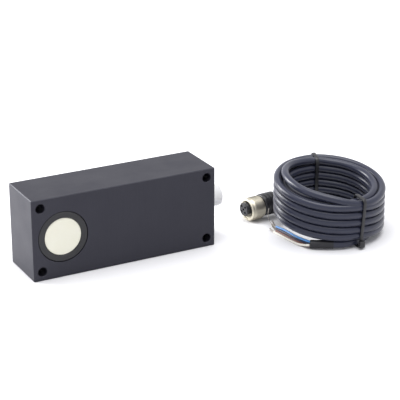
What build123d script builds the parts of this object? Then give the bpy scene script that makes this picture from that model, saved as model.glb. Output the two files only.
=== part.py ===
"""Ultrasonic distance sensor in a machined aluminium block, with its unplugged cordset.

The sensing face looks along -Y, the connector is on the +X end and +Z is up. The origin is the
centre of the housing's underside. The plug and its coiled cable lie beside the housing, on the
surface that the housing stands on. All sizes are in millimetres.
"""

import os
from math import atan2, cos, degrees, pi, radians, sin, tan

from build123d import *

os.makedirs("parts", exist_ok=True)

# Housing: a rectangular block that stands on its long narrow side.
BODY_LENGTH = 118.0
BODY_DEPTH = 34.0
BODY_HEIGHT = 50.0
EDGE_BREAK = 0.4
FRONT_Y = -BODY_DEPTH / 2
BACK_Y = BODY_DEPTH / 2
END_X = BODY_LENGTH / 2
MID_Z = BODY_HEIGHT / 2

# Mounting holes, straight through the block for M5 screws.
MOUNT_EDGE = 5.5
MOUNT_SPACING_X = BODY_LENGTH - 2 * MOUNT_EDGE
MOUNT_SPACING_Z = BODY_HEIGHT - 2 * MOUNT_EDGE
MOUNT_HOLE_RADIUS = 2.75
MOUNT_HOLE_BREAK = 0.3

# Rear pocket with a rebate for the cover.
POCKET_WIDTH = 86.0
POCKET_HEIGHT = 31.0
POCKET_CORNER = 3.0
POCKET_FLOOR_Y = -12.0
SHALLOW_FLOOR_Y = 4.0
DEEP_POCKET_LEFT_X = -24.0
REBATE_WIDTH = 98.0
REBATE_HEIGHT = 43.0
REBATE_DEPTH = 3.5
REBATE_CORNER = 3.0
GASKET_THICKNESS = 0.5
COVER_THICKNESS = REBATE_DEPTH - GASKET_THICKNESS
COVER_GAP = 0.1
COVER_SEAT_Y = BACK_Y - REBATE_DEPTH
COVER_SCREW_SPACING_X = 46.0
COVER_SCREW_SPACING_Z = 37.0

# M3 screws, plain shanks in plain holes.
SCREW_RADIUS = 1.47
SCREW_HOLE_RADIUS = 1.5
COVER_HOLE_RADIUS = 1.7
COVER_SCREW_LENGTH = 8.0
COVER_HEAD_RADIUS = 2.8
COVER_HEAD_HEIGHT = 1.4
SOCKET_RADIUS = 1.0
SOCKET_DEPTH = 1.0

# Transducer: a black cup with a pale matching layer in its mouth.
TRANSDUCER_X = -40.0
FLANGE_RADIUS = 15.3
FLANGE_SEAT_RADIUS = 15.55
FLANGE_THICKNESS = 3.0
CUP_RADIUS = 13.5
CUP_BORE_RADIUS = 13.7
CUP_REAR_Y = 1.0
CUP_CAVITY_RADIUS = 11.4
CUP_FLOOR = 1.5
RING_BREAK = 0.35
FACE_RECESS = 0.4
MATCHING_RADIUS = 11.3
MATCHING_THICKNESS = 3.0
PIEZO_RADIUS = 10.0
PIEZO_THICKNESS = 2.0
FOAM_THICKNESS = 9.0
O_RING_GROOVE_RADIUS = 12.3
O_RING_GROOVE_FRONT = -11.5
O_RING_GROOVE_WIDTH = 2.0
RETAINER_THICKNESS = 2.6
RETAINER_INNER_RADIUS = 9.0
LEAD_HOLE_RADIUS = 3.2

# Circuit board, parallel to the sensing face.
BOARD_LENGTH = 62.0
BOARD_HEIGHT = 29.0
BOARD_THICKNESS = 1.6
BOARD_X = 10.0
BOARD_FRONT_Y = 4.0
BOARD_REAR_Y = BOARD_FRONT_Y + BOARD_THICKNESS
BOARD_HOLE_SPACING_X = 55.0
BOARD_HOLE_SPACING_Z = 22.0
BOARD_HOLE_RADIUS = 1.6
SPACER_ACROSS_FLATS = 5.5
SPACER_STUD = 3.4
BOARD_SCREW_SHANK = 6.0
BOARD_SCREW_HEAD_RADIUS = 2.7
BOARD_SCREW_HEAD_HEIGHT = 2.2

# Male M12 receptacle, five poles.
SHELL_BARREL_RADIUS = 6.97
SHELL_BORE_IN_HOUSING = 7.0
SHELL_FLANGE_RADIUS = 8.5
SHELL_FLANGE_THICKNESS = 2.0
THREAD_RADIUS = 6.0
THREAD_END_X = END_X + 10.5
THREAD_UNDERCUT = 5.3
SHELL_CAVITY_RADIUS = 4.5
INSERT_REAR_X = 45.0
INSERT_FACE_X = 61.0
PIN_CIRCLE = 2.5
PIN_RADIUS = 0.5
PIN_TIP_X = 67.5
PIN_TAIL_X = 41.0
CONNECTOR_SEAL_RADIUS = 8.0
CONNECTOR_SEAL_SECTION = 0.5
POLE_COUNT = 4

# Dust cap pushed over the receptacle's thread.
CAP_OPEN_X = END_X + 2.3
CAP_END_X = END_X + 12.2
CAP_RADIUS = 6.75
CAP_INNER_RADIUS = 6.06
CAP_END_WALL = 1.5
CAP_END_ROUND = 2.2
CAP_LIP_RADIUS = 7.0
CAP_LIP_WIDTH = 1.2

# Female M12 plug, lying on the surface beside the housing and pointing back at it.
PLUG_FACE = (92.45, 6.5, 8.5)
PLUG_TURN = 5.2
INSERT_RADIUS = 4.3
INSERT_FLANGE_RADIUS = 5.5
INSERT_FLANGE_START = 8.6
INSERT_LENGTH = 10.5
SOCKET_HOLE_RADIUS = 0.8
CONTACT_RADIUS = 0.78
CONTACT_BORE = 0.5
CONTACT_START = 1.2
KEYWAY_WIDTH = 1.5
KEYWAY_DEPTH = 0.9
KEYWAY_LENGTH = 7.0
NUT_DROP = 0.85
NUT_START = 2.65
NUT_END = 12.6
NUT_RADIUS = 7.5
NUT_BAND_RADIUS = 7.25
NUT_BAND_END = 4.7
NUT_THREAD_RADIUS = 5.45
NUT_THREAD_END = 7.5
NUT_RELIEF_RADIUS = 6.45
NUT_COLLAR_START = 10.7
NUT_COLLAR_RADIUS = 5.15
NECK_RADIUS = 4.25
GRIP_START = 12.9
GRIP_END = 30.0
GRIP_RADIUS = 7.2
GRIP_STRAIGHT_END = 22.5
GRIP_REAR_RADIUS = 4.4
GRIP_RIB_PITCH = 2.6
GRIP_GROOVE_WIDTH = 0.9
GRIP_GROOVE_DEPTH = 0.5
GRIP_RIBS = 3
RELIEF_LENGTH = 10.0
RELIEF_REAR_RADIUS = 3.3
RELIEF_GROOVES = 3
RELIEF_GROOVE_PITCH = 2.6
RELIEF_GROOVE_WIDTH = 1.1
RELIEF_GROOVE_DEPTH = 0.6

# Cable and its coil: two columns of turns side by side. Every turn slopes up towards the back,
# and the turns are stacked straight up on each other.
CABLE_RADIUS = 2.35
CABLE_FIT = 0.02
ROW = 4.75
ROWS = 6
COIL_CENTRE = (133.2, -28.8)
COIL_SLOPE = 0.148
OUTER_TURN_RADIUS = 32.25
COIL_OUTER_RADIUS = OUTER_TURN_RADIUS + CABLE_RADIUS
COIL_INNER_RADIUS = OUTER_TURN_RADIUS - ROW - CABLE_RADIUS
COLUMN_SPLIT_RADIUS = OUTER_TURN_RADIUS - ROW / 2
COIL_HEIGHT = ROW * ROWS
COIL_LIFT = COIL_OUTER_RADIUS * COIL_SLOPE + 0.05
LEAD_JOINS_AT = 14.0
TAIL_LEAVES_AT = -114.0
CROSSING_START = -190.0
CROSSING_END = -94.0
REACH = 100.0
REACH_PAST = 4.0
ARC_SHARE = 0.45

# Cable ties.
TIE_WIDTH = 2.2
TIE_THICKNESS = 0.8
TIE_SINK = 0.5
TIE_BOTTOM_SINK = 0.85
TIE_CLEARANCE = 0.1
TIE_HEAD_WIDTH = 3.8
TIE_HEAD_HEIGHT = 4.4
TIE_HEAD_DEPTH = 2.8
FRONT_TIE_ANGLE = -84.5
FRONT_TIE_HEIGHT = 31.6
FRONT_TIE_HEAD = 1.0
REAR_TIE_ANGLE = 75.5
REAR_TIE_HEIGHT = 28.9
REAR_TIE_HEAD = 9.0

# Cable end: sleeve and stripped cores.
SLEEVE_LENGTH = 4.6
SLEEVE_RADIUS = 2.65
CORE_RADIUS = 0.65
TIP_RADIUS = 0.4


def facing(depth):
    """A plane parallel to the sensing face at a depth in Y; it looks along -Y."""
    return Plane.XZ.offset(-depth)


def across(x):
    """A plane across the connector's axis, looking along +X; its local x is world Y."""
    return Plane(origin=(x, 0, MID_Z), x_dir=(0, 1, 0), z_dir=(1, 0, 0))


def tube_radii(points):
    """Arc radii for a tube's corners, each as large as its two runs allow."""
    radii = []
    for before, here, after in zip(points, points[1:], points[2:]):
        run_in = Vector(here) - Vector(before)
        run_out = Vector(after) - Vector(here)
        half_turn = radians(run_in.get_angle(run_out)) / 2
        radii.append(ARC_SHARE * min(run_in.length, run_out.length) / tan(half_turn))
    return radii


def report_tube(name, points, part, radius):
    """Print a tube's bend radii, and its volume against its section times its length."""
    radii = tube_radii(points)
    with BuildLine() as line:
        FilletPolyline(*points, radius=radii)
    length = sum(edge.length for edge in line.edges())
    ratio = part.volume / (pi * radius**2 * length)
    print(name, "length", round(length, 1), "radii", [round(r, 1) for r in radii], "volume ratio", round(ratio, 4))
    return length


# ---------------------------------------------------------------- housing
with BuildPart() as housing:
    with BuildSketch():
        Rectangle(BODY_LENGTH, BODY_DEPTH)
    extrude(amount=BODY_HEIGHT)
    chamfer(housing.edges(), EDGE_BREAK)
    # Rebate, shallow pocket over the full width, deep pocket for the board
    with BuildSketch(facing(BACK_Y)):
        with Locations((0, MID_Z)):
            RectangleRounded(REBATE_WIDTH, REBATE_HEIGHT, REBATE_CORNER)
    extrude(amount=REBATE_DEPTH, mode=Mode.SUBTRACT)
    with BuildSketch(facing(COVER_SEAT_Y)):
        with Locations((0, MID_Z)):
            RectangleRounded(POCKET_WIDTH, POCKET_HEIGHT, POCKET_CORNER)
    extrude(amount=COVER_SEAT_Y - SHALLOW_FLOOR_Y, mode=Mode.SUBTRACT)
    deep_width = POCKET_WIDTH / 2 - DEEP_POCKET_LEFT_X
    with BuildSketch(facing(SHALLOW_FLOOR_Y + 1)):
        with Locations((DEEP_POCKET_LEFT_X + deep_width / 2, MID_Z)):
            RectangleRounded(deep_width, POCKET_HEIGHT, POCKET_CORNER)
    extrude(amount=SHALLOW_FLOOR_Y + 1 - POCKET_FLOOR_Y, mode=Mode.SUBTRACT)
    # Transducer bore with its flange seat, cut from the front
    with BuildSketch(facing(FRONT_Y)):
        with Locations((TRANSDUCER_X, MID_Z)):
            Circle(CUP_BORE_RADIUS)
    extrude(amount=FRONT_Y - SHALLOW_FLOOR_Y, mode=Mode.SUBTRACT)
    with BuildSketch(facing(FRONT_Y)):
        with Locations((TRANSDUCER_X, MID_Z)):
            Circle(FLANGE_SEAT_RADIUS)
    extrude(amount=-FLANGE_THICKNESS, mode=Mode.SUBTRACT)
    # Receptacle bore with a seat for its seal, through the +X wall
    with BuildSketch(across(END_X)):
        Circle(SHELL_BORE_IN_HOUSING)
    extrude(amount=POCKET_WIDTH / 2 - END_X, mode=Mode.SUBTRACT)
    with BuildSketch(across(END_X)):
        Circle(CONNECTOR_SEAL_RADIUS)
    extrude(amount=-2 * CONNECTOR_SEAL_SECTION, mode=Mode.SUBTRACT)
    # Tapped holes for the cover screws and blind holes for the spacers' studs
    with BuildSketch(facing(COVER_SEAT_Y)):
        with Locations((0, MID_Z)):
            with GridLocations(COVER_SCREW_SPACING_X, COVER_SCREW_SPACING_Z, 3, 2):
                Circle(SCREW_HOLE_RADIUS)
    extrude(amount=COVER_SCREW_LENGTH - REBATE_DEPTH + 1, mode=Mode.SUBTRACT)
    with BuildSketch(facing(POCKET_FLOOR_Y)):
        with Locations((BOARD_X, MID_Z)):
            with GridLocations(BOARD_HOLE_SPACING_X, BOARD_HOLE_SPACING_Z, 2, 2):
                Circle(SCREW_HOLE_RADIUS)
    extrude(amount=SPACER_STUD, mode=Mode.SUBTRACT)
    # Four mounting holes, straight through, with broken edges at the front and back
    with BuildSketch(facing(BACK_Y)):
        with Locations((0, MID_Z)):
            with GridLocations(MOUNT_SPACING_X, MOUNT_SPACING_Z, 2, 2):
                Circle(MOUNT_HOLE_RADIUS)
    extrude(amount=BODY_DEPTH, mode=Mode.SUBTRACT)
    rims = housing.edges().filter_by(GeomType.CIRCLE).filter_by(
        lambda rim: abs(rim.radius - MOUNT_HOLE_RADIUS) < 0.01
    )
    chamfer(rims, MOUNT_HOLE_BREAK)
housing.part.label = "housing"
export_step(housing.part, "parts/housing.step")

# ---------------------------------------------------------------- rear cover, gasket and screws
with BuildPart() as rear_cover:
    with BuildSketch(facing(BACK_Y)):
        with Locations((0, MID_Z)):
            RectangleRounded(REBATE_WIDTH - 2 * COVER_GAP, REBATE_HEIGHT - 2 * COVER_GAP, REBATE_CORNER)
            with GridLocations(COVER_SCREW_SPACING_X, COVER_SCREW_SPACING_Z, 3, 2):
                Circle(COVER_HOLE_RADIUS, mode=Mode.SUBTRACT)
    extrude(amount=COVER_THICKNESS)
    with BuildSketch(facing(BACK_Y)) as head_seats:
        with Locations((0, MID_Z)):
            with GridLocations(COVER_SCREW_SPACING_X, COVER_SCREW_SPACING_Z, 3, 2):
                Circle(COVER_HEAD_RADIUS + COVER_GAP)
    extrude(amount=COVER_HEAD_HEIGHT + COVER_GAP, taper=38, mode=Mode.SUBTRACT)
rear_cover.part.label = "rear_cover"
export_step(rear_cover.part, "parts/rear_cover.step")

with BuildPart() as cover_gasket:
    with BuildSketch(facing(COVER_SEAT_Y + GASKET_THICKNESS)):
        with Locations((0, MID_Z)):
            RectangleRounded(REBATE_WIDTH - 2 * COVER_GAP, REBATE_HEIGHT - 2 * COVER_GAP, REBATE_CORNER)
            RectangleRounded(POCKET_WIDTH, POCKET_HEIGHT, POCKET_CORNER, mode=Mode.SUBTRACT)
            with GridLocations(COVER_SCREW_SPACING_X, COVER_SCREW_SPACING_Z, 3, 2):
                Circle(COVER_HOLE_RADIUS, mode=Mode.SUBTRACT)
    extrude(amount=GASKET_THICKNESS)
cover_gasket.part.label = "cover_gasket"
export_step(cover_gasket.part, "parts/cover_gasket.step")

with BuildPart() as cover_screws:
    with BuildSketch(facing(BACK_Y)):
        with Locations((0, MID_Z)):
            with GridLocations(COVER_SCREW_SPACING_X, COVER_SCREW_SPACING_Z, 3, 2):
                Circle(COVER_HEAD_RADIUS)
    extrude(amount=COVER_HEAD_HEIGHT, taper=38)
    with BuildSketch(facing(BACK_Y - 0.5)):
        with Locations((0, MID_Z)):
            with GridLocations(COVER_SCREW_SPACING_X, COVER_SCREW_SPACING_Z, 3, 2):
                Circle(SCREW_RADIUS)
    extrude(amount=COVER_SCREW_LENGTH - 0.5)
    with BuildSketch(facing(BACK_Y)):
        with Locations((0, MID_Z)):
            with GridLocations(COVER_SCREW_SPACING_X, COVER_SCREW_SPACING_Z, 3, 2):
                RegularPolygon(SOCKET_RADIUS, 6)
    extrude(amount=SOCKET_DEPTH, mode=Mode.SUBTRACT)
cover_screws.part.label = "cover_screws"
export_step(cover_screws.part, "parts/cover_screws.step")

# ---------------------------------------------------------------- transducer
LAYER_FRONT_Y = FRONT_Y + FACE_RECESS
PIEZO_FRONT_Y = LAYER_FRONT_Y + MATCHING_THICKNESS
FOAM_FRONT_Y = PIEZO_FRONT_Y + PIEZO_THICKNESS
CUP_FLOOR_Y = CUP_REAR_Y - CUP_FLOOR

with BuildPart() as transducer_cup:
    with BuildSketch(facing(FRONT_Y)):
        with Locations((TRANSDUCER_X, MID_Z)):
            Circle(FLANGE_RADIUS)
    extrude(amount=-FLANGE_THICKNESS)
    with BuildSketch(facing(FRONT_Y)):
        with Locations((TRANSDUCER_X, MID_Z)):
            Circle(CUP_RADIUS)
    extrude(amount=FRONT_Y - CUP_REAR_Y)
    with BuildSketch(facing(O_RING_GROOVE_FRONT)):
        with Locations((TRANSDUCER_X, MID_Z)):
            Circle(CUP_RADIUS + 1)
            Circle(O_RING_GROOVE_RADIUS, mode=Mode.SUBTRACT)
    extrude(amount=-O_RING_GROOVE_WIDTH, mode=Mode.SUBTRACT)
    with BuildSketch(facing(FRONT_Y)):
        with Locations((TRANSDUCER_X, MID_Z)):
            Circle(CUP_CAVITY_RADIUS)
    extrude(amount=FRONT_Y - CUP_FLOOR_Y, mode=Mode.SUBTRACT)
    with BuildSketch(facing(CUP_REAR_Y)):
        with Locations((TRANSDUCER_X, MID_Z)):
            Circle(LEAD_HOLE_RADIUS)
    extrude(amount=CUP_FLOOR, mode=Mode.SUBTRACT)
    face_rims = transducer_cup.edges().filter_by(GeomType.CIRCLE).filter_by(
        lambda rim: abs(rim.arc_center.Y - FRONT_Y) < 0.01
    )
    chamfer(face_rims, RING_BREAK)
transducer_cup.part.label = "transducer_cup"
export_step(transducer_cup.part, "parts/transducer_cup.step")

with BuildPart() as matching_layer:
    with BuildSketch(facing(LAYER_FRONT_Y)):
        with Locations((TRANSDUCER_X, MID_Z)):
            Circle(MATCHING_RADIUS)
    extrude(amount=-MATCHING_THICKNESS)
    fillet(matching_layer.edges().group_by(Axis.Y)[0], 0.25)
matching_layer.part.label = "matching_layer"
export_step(matching_layer.part, "parts/matching_layer.step")

with BuildPart() as piezo_disc:
    with BuildSketch(facing(PIEZO_FRONT_Y)):
        with Locations((TRANSDUCER_X, MID_Z)):
            Circle(PIEZO_RADIUS)
    extrude(amount=-PIEZO_THICKNESS)
piezo_disc.part.label = "piezo_disc"
export_step(piezo_disc.part, "parts/piezo_disc.step")

with BuildPart() as backing_foam:
    with BuildSketch(facing(FOAM_FRONT_Y)):
        with Locations((TRANSDUCER_X, MID_Z)):
            Circle(MATCHING_RADIUS)
            Circle(LEAD_HOLE_RADIUS, mode=Mode.SUBTRACT)
    extrude(amount=-FOAM_THICKNESS)
backing_foam.part.label = "backing_foam"
export_step(backing_foam.part, "parts/backing_foam.step")

with BuildPart() as transducer_o_ring:
    section_radius = (CUP_BORE_RADIUS - O_RING_GROOVE_RADIUS) / 2 - 0.01
    ring_radius = (CUP_BORE_RADIUS + O_RING_GROOVE_RADIUS) / 2
    ring_y = O_RING_GROOVE_FRONT + O_RING_GROOVE_WIDTH / 2
    ring_centre = (TRANSDUCER_X, ring_y, MID_Z)
    with BuildSketch(Plane(origin=ring_centre, x_dir=(1, 0, 0), z_dir=(0, 0, 1))):
        with Locations((ring_radius, 0)):
            Circle(section_radius)
    revolve(axis=Axis(ring_centre, (0, 1, 0)))
transducer_o_ring.part.label = "transducer_o_ring"
export_step(transducer_o_ring.part, "parts/transducer_o_ring.step")

with BuildPart() as retaining_ring:
    with BuildSketch(facing(CUP_REAR_Y + RETAINER_THICKNESS)):
        with Locations((TRANSDUCER_X, MID_Z)):
            Circle(CUP_BORE_RADIUS - 0.03)
            Circle(RETAINER_INNER_RADIUS, mode=Mode.SUBTRACT)
            with PolarLocations(RETAINER_INNER_RADIUS + 2, 2):
                Circle(1, mode=Mode.SUBTRACT)
    extrude(amount=RETAINER_THICKNESS)
retaining_ring.part.label = "retaining_ring"
export_step(retaining_ring.part, "parts/retaining_ring.step")

TRANSDUCER_WIRE_RADIUS = 0.6
TRANSDUCER_WIRE_Y = 9.0
TRANSDUCER_PAD_X = -19.5
FOAM_REAR_Y = FOAM_FRONT_Y + FOAM_THICKNESS
with BuildPart() as transducer_leads:
    for z in (MID_Z - 1.5, MID_Z + 1.5):
        wire_points = [
            (TRANSDUCER_X, FOAM_REAR_Y - 1, z),
            (TRANSDUCER_X, TRANSDUCER_WIRE_Y, z),
            (TRANSDUCER_PAD_X, TRANSDUCER_WIRE_Y, z),
            (TRANSDUCER_PAD_X, BOARD_REAR_Y, z),
        ]
        with BuildLine():
            FilletPolyline(*wire_points, radius=3)
        with BuildSketch(facing(FOAM_REAR_Y - 1)):
            with Locations((TRANSDUCER_X, z)):
                Circle(TRANSDUCER_WIRE_RADIUS)
        sweep()
transducer_leads.part.label = "transducer_leads"
export_step(transducer_leads.part, "parts/transducer_leads.step")

# ---------------------------------------------------------------- circuit board
with BuildPart() as circuit_board:
    with BuildSketch(facing(BOARD_REAR_Y)):
        with Locations((BOARD_X, MID_Z)):
            RectangleRounded(BOARD_LENGTH, BOARD_HEIGHT, 1.5)
            with GridLocations(BOARD_HOLE_SPACING_X, BOARD_HOLE_SPACING_Z, 2, 2):
                Circle(BOARD_HOLE_RADIUS, mode=Mode.SUBTRACT)
    extrude(amount=BOARD_THICKNESS)
circuit_board.part.label = "circuit_board"
export_step(circuit_board.part, "parts/circuit_board.step")

with BuildPart() as board_spacers:
    with BuildSketch(facing(BOARD_FRONT_Y)):
        with Locations((BOARD_X, MID_Z)):
            with GridLocations(BOARD_HOLE_SPACING_X, BOARD_HOLE_SPACING_Z, 2, 2):
                RegularPolygon(SPACER_ACROSS_FLATS / 2, 6, major_radius=False)
    extrude(amount=BOARD_FRONT_Y - POCKET_FLOOR_Y)
    with BuildSketch(facing(POCKET_FLOOR_Y)):
        with Locations((BOARD_X, MID_Z)):
            with GridLocations(BOARD_HOLE_SPACING_X, BOARD_HOLE_SPACING_Z, 2, 2):
                Circle(SCREW_RADIUS)
    extrude(amount=SPACER_STUD - 0.2)
    with BuildSketch(facing(BOARD_FRONT_Y)):
        with Locations((BOARD_X, MID_Z)):
            with GridLocations(BOARD_HOLE_SPACING_X, BOARD_HOLE_SPACING_Z, 2, 2):
                Circle(SCREW_HOLE_RADIUS)
    extrude(amount=BOARD_SCREW_SHANK, mode=Mode.SUBTRACT)
board_spacers.part.label = "board_spacers"
export_step(board_spacers.part, "parts/board_spacers.step")

with BuildPart() as board_screws:
    with BuildSketch(facing(BOARD_REAR_Y + BOARD_SCREW_HEAD_HEIGHT)):
        with Locations((BOARD_X, MID_Z)):
            with GridLocations(BOARD_HOLE_SPACING_X, BOARD_HOLE_SPACING_Z, 2, 2):
                Circle(BOARD_SCREW_HEAD_RADIUS)
    extrude(amount=BOARD_SCREW_HEAD_HEIGHT)
    with BuildSketch(facing(BOARD_REAR_Y)):
        with Locations((BOARD_X, MID_Z)):
            with GridLocations(BOARD_HOLE_SPACING_X, BOARD_HOLE_SPACING_Z, 2, 2):
                Circle(SCREW_RADIUS)
    extrude(amount=BOARD_SCREW_SHANK)
    with BuildSketch(facing(BOARD_REAR_Y + BOARD_SCREW_HEAD_HEIGHT)):
        with Locations((BOARD_X, MID_Z)):
            with GridLocations(BOARD_HOLE_SPACING_X, BOARD_HOLE_SPACING_Z, 2, 2):
                RegularPolygon(SOCKET_RADIUS, 6)
    extrude(amount=SOCKET_DEPTH, mode=Mode.SUBTRACT)
board_screws.part.label = "board_screws"
export_step(board_screws.part, "parts/board_screws.step")

# Parts soldered to the board: (x, z) centres, then width, height and how far each stands off it.
TRANSFORMER = (-9.0, MID_Z)
CAPACITORS = [(8.0, 18.5), (8.0, 31.5), (18.5, 31.5)]
CHIPS = [(20.5, 15.0), (28.5, 15.0)]
CONTROLLER = (4.0, MID_Z)
REGULATOR = (24.0, 32.0)
HEADER = (30.0, MID_Z)
HEADER_PITCH = 2.54
HEADER_FACE_X = HEADER[0] + 1.5
HEADER_DEPTH = 8.5

with BuildPart() as pulse_transformer:
    with BuildSketch(facing(BOARD_FRONT_Y)):
        with Locations(TRANSFORMER):
            RectangleRounded(13, 14, 1)
    extrude(amount=2)
    with BuildSketch(facing(BOARD_FRONT_Y - 2)):
        with Locations(TRANSFORMER):
            Circle(5)
    extrude(amount=6)
    with BuildSketch(facing(BOARD_FRONT_Y - 8)):
        with Locations(TRANSFORMER):
            RectangleRounded(13, 14, 1)
    extrude(amount=2)
pulse_transformer.part.label = "pulse_transformer"
export_step(pulse_transformer.part, "parts/pulse_transformer.step")

with BuildPart() as storage_capacitors:
    with BuildSketch(facing(BOARD_FRONT_Y)):
        with Locations(*CAPACITORS):
            Circle(4)
    extrude(amount=11.5)
    fillet(storage_capacitors.edges().group_by(Axis.Y)[0], 0.6)
storage_capacitors.part.label = "storage_capacitors"
export_step(storage_capacitors.part, "parts/storage_capacitors.step")

with BuildPart() as amplifier_chips:
    with BuildSketch(facing(BOARD_FRONT_Y)):
        with Locations(*CHIPS):
            Rectangle(3.9, 4.9)
            with GridLocations(5.4, 1.27, 2, 4):
                Rectangle(0.9, 0.45)
    extrude(amount=1.5)
amplifier_chips.part.label = "amplifier_chips"
export_step(amplifier_chips.part, "parts/amplifier_chips.step")

with BuildPart() as microcontroller:
    with BuildSketch(facing(BOARD_REAR_Y + 1.5)):
        with Locations(CONTROLLER):
            Rectangle(10, 10)
    extrude(amount=1.5)
    with BuildSketch(facing(BOARD_REAR_Y + 0.6)):
        with Locations(CONTROLLER):
            with GridLocations(11, 0.8, 2, 11):
                Rectangle(1.2, 0.4)
            with GridLocations(0.8, 11, 11, 2):
                Rectangle(0.4, 1.2)
    extrude(amount=0.6)
microcontroller.part.label = "microcontroller"
export_step(microcontroller.part, "parts/microcontroller.step")

with BuildPart() as voltage_regulator:
    with BuildSketch(facing(BOARD_REAR_Y + 2.3)):
        with Locations(REGULATOR):
            Rectangle(6.5, 6)
    extrude(amount=2.3)
    with BuildSketch(facing(BOARD_REAR_Y + 0.8)):
        with Locations((REGULATOR[0], REGULATOR[1] - 4)):
            with GridLocations(2.3, 1, 3, 1):
                Rectangle(0.8, 2.2)
    extrude(amount=0.8)
voltage_regulator.part.label = "voltage_regulator"
export_step(voltage_regulator.part, "parts/voltage_regulator.step")

with BuildPart() as lead_header:
    with BuildSketch(facing(BOARD_FRONT_Y)):
        with Locations(HEADER):
            Rectangle(2 * (HEADER_FACE_X - HEADER[0]), HEADER_PITCH * 5)
    extrude(amount=HEADER_DEPTH)
lead_header.part.label = "lead_header"
export_step(lead_header.part, "parts/lead_header.step")

# ---------------------------------------------------------------- M12 receptacle and dust cap
with BuildPart() as connector_shell:
    with BuildSketch(across(POCKET_WIDTH / 2)):
        Circle(SHELL_BARREL_RADIUS)
    extrude(amount=END_X - POCKET_WIDTH / 2)
    with BuildSketch(across(END_X)):
        RegularPolygon(SHELL_FLANGE_RADIUS, 6, major_radius=False)
    extrude(amount=SHELL_FLANGE_THICKNESS)
    with BuildSketch(across(END_X + SHELL_FLANGE_THICKNESS)):
        Circle(THREAD_UNDERCUT)
    extrude(amount=1)
    with BuildSketch(across(END_X + SHELL_FLANGE_THICKNESS + 1)):
        Circle(THREAD_RADIUS)
    extrude(amount=THREAD_END_X - END_X - SHELL_FLANGE_THICKNESS - 1)
    chamfer(connector_shell.edges().group_by(Axis.X)[-1], 0.4)
    with BuildSketch(across(POCKET_WIDTH / 2)):
        Circle(SHELL_CAVITY_RADIUS)
    extrude(amount=THREAD_END_X - POCKET_WIDTH / 2, mode=Mode.SUBTRACT)
connector_shell.part.label = "connector_shell"
export_step(connector_shell.part, "parts/connector_shell.step")

with BuildPart() as connector_insert:
    with BuildSketch(across(INSERT_REAR_X)):
        Circle(SHELL_CAVITY_RADIUS - 0.02)
        Circle(PIN_RADIUS + 0.02, mode=Mode.SUBTRACT)
        with PolarLocations(PIN_CIRCLE, POLE_COUNT, start_angle=45):
            Circle(PIN_RADIUS + 0.02, mode=Mode.SUBTRACT)
    extrude(amount=INSERT_FACE_X - INSERT_REAR_X)
    # Coding rib along the top of the cavity
    with BuildSketch(across(INSERT_FACE_X)):
        with Locations((0, SHELL_CAVITY_RADIUS - 0.5)):
            Rectangle(1.3, 0.8)
        Circle(SHELL_CAVITY_RADIUS - 0.02, mode=Mode.INTERSECT)
    extrude(amount=PIN_TIP_X - INSERT_FACE_X)
connector_insert.part.label = "connector_insert"
export_step(connector_insert.part, "parts/connector_insert.step")

with BuildPart() as connector_pins:
    with BuildSketch(across(PIN_TAIL_X)):
        Circle(PIN_RADIUS)
        with PolarLocations(PIN_CIRCLE, POLE_COUNT, start_angle=45):
            Circle(PIN_RADIUS)
    extrude(amount=PIN_TIP_X - PIN_TAIL_X)
    chamfer(connector_pins.edges().group_by(Axis.X)[-1], 0.2)
connector_pins.part.label = "connector_pins"
export_step(connector_pins.part, "parts/connector_pins.step")

with BuildPart() as connector_o_ring:
    seal_centre = (END_X - CONNECTOR_SEAL_SECTION, 0, MID_Z)
    with BuildSketch(Plane(origin=seal_centre, x_dir=(1, 0, 0), z_dir=(0, -1, 0))):
        with Locations((0, CONNECTOR_SEAL_RADIUS - CONNECTOR_SEAL_SECTION)):
            Circle(CONNECTOR_SEAL_SECTION - 0.01)
    revolve(axis=Axis(seal_centre, (1, 0, 0)))
connector_o_ring.part.label = "connector_o_ring"
export_step(connector_o_ring.part, "parts/connector_o_ring.step")

CONNECTOR_WIRE_RADIUS = 0.55
CONNECTOR_WIRE_Y = -1.0
PIN_PLACES = [(0, 0)] + [
    (PIN_CIRCLE * cos(radians(angle)), PIN_CIRCLE * sin(radians(angle))) for angle in (225, 315, 45, 135)
]
HEADER_ROWS = [0, -1, -2, 2, 1]
with BuildPart() as connector_leads:
    for (pin_y, pin_z), row in zip(PIN_PLACES, HEADER_ROWS):
        wire_start = (PIN_TAIL_X, pin_y, MID_Z + pin_z)
        wire_end = (HEADER_FACE_X, CONNECTOR_WIRE_Y, MID_Z + row * HEADER_PITCH)
        wire_points = [
            wire_start,
            (wire_start[0] - 3, wire_start[1], wire_start[2]),
            (wire_end[0] + 3, wire_end[1], wire_end[2]),
            wire_end,
        ]
        with BuildLine():
            FilletPolyline(*wire_points, radius=tube_radii(wire_points))
        with BuildSketch(Plane(origin=wire_start, x_dir=(0, 1, 0), z_dir=(-1, 0, 0))):
            Circle(CONNECTOR_WIRE_RADIUS)
        sweep()
connector_leads.part.label = "connector_leads"
export_step(connector_leads.part, "parts/connector_leads.step")

with BuildPart() as dust_cap:
    with BuildSketch(across(CAP_OPEN_X)):
        Circle(CAP_RADIUS)
    extrude(amount=CAP_END_X - CAP_OPEN_X)
    fillet(dust_cap.edges().group_by(Axis.X)[-1], CAP_END_ROUND)
    with BuildSketch(across(CAP_OPEN_X)):
        Circle(CAP_LIP_RADIUS)
    extrude(amount=CAP_LIP_WIDTH)
    with BuildSketch(across(CAP_OPEN_X)):
        Circle(CAP_INNER_RADIUS)
    extrude(amount=CAP_END_X - CAP_END_WALL - CAP_OPEN_X, mode=Mode.SUBTRACT)
dust_cap.part.label = "dust_cap"
export_step(dust_cap.part, "parts/dust_cap.step")

# ---------------------------------------------------------------- female plug
PLUG_AXIS = (cos(radians(PLUG_TURN)), sin(radians(PLUG_TURN)), 0)
PLUG_SIDE = (-sin(radians(PLUG_TURN)), cos(radians(PLUG_TURN)), 0)


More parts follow.
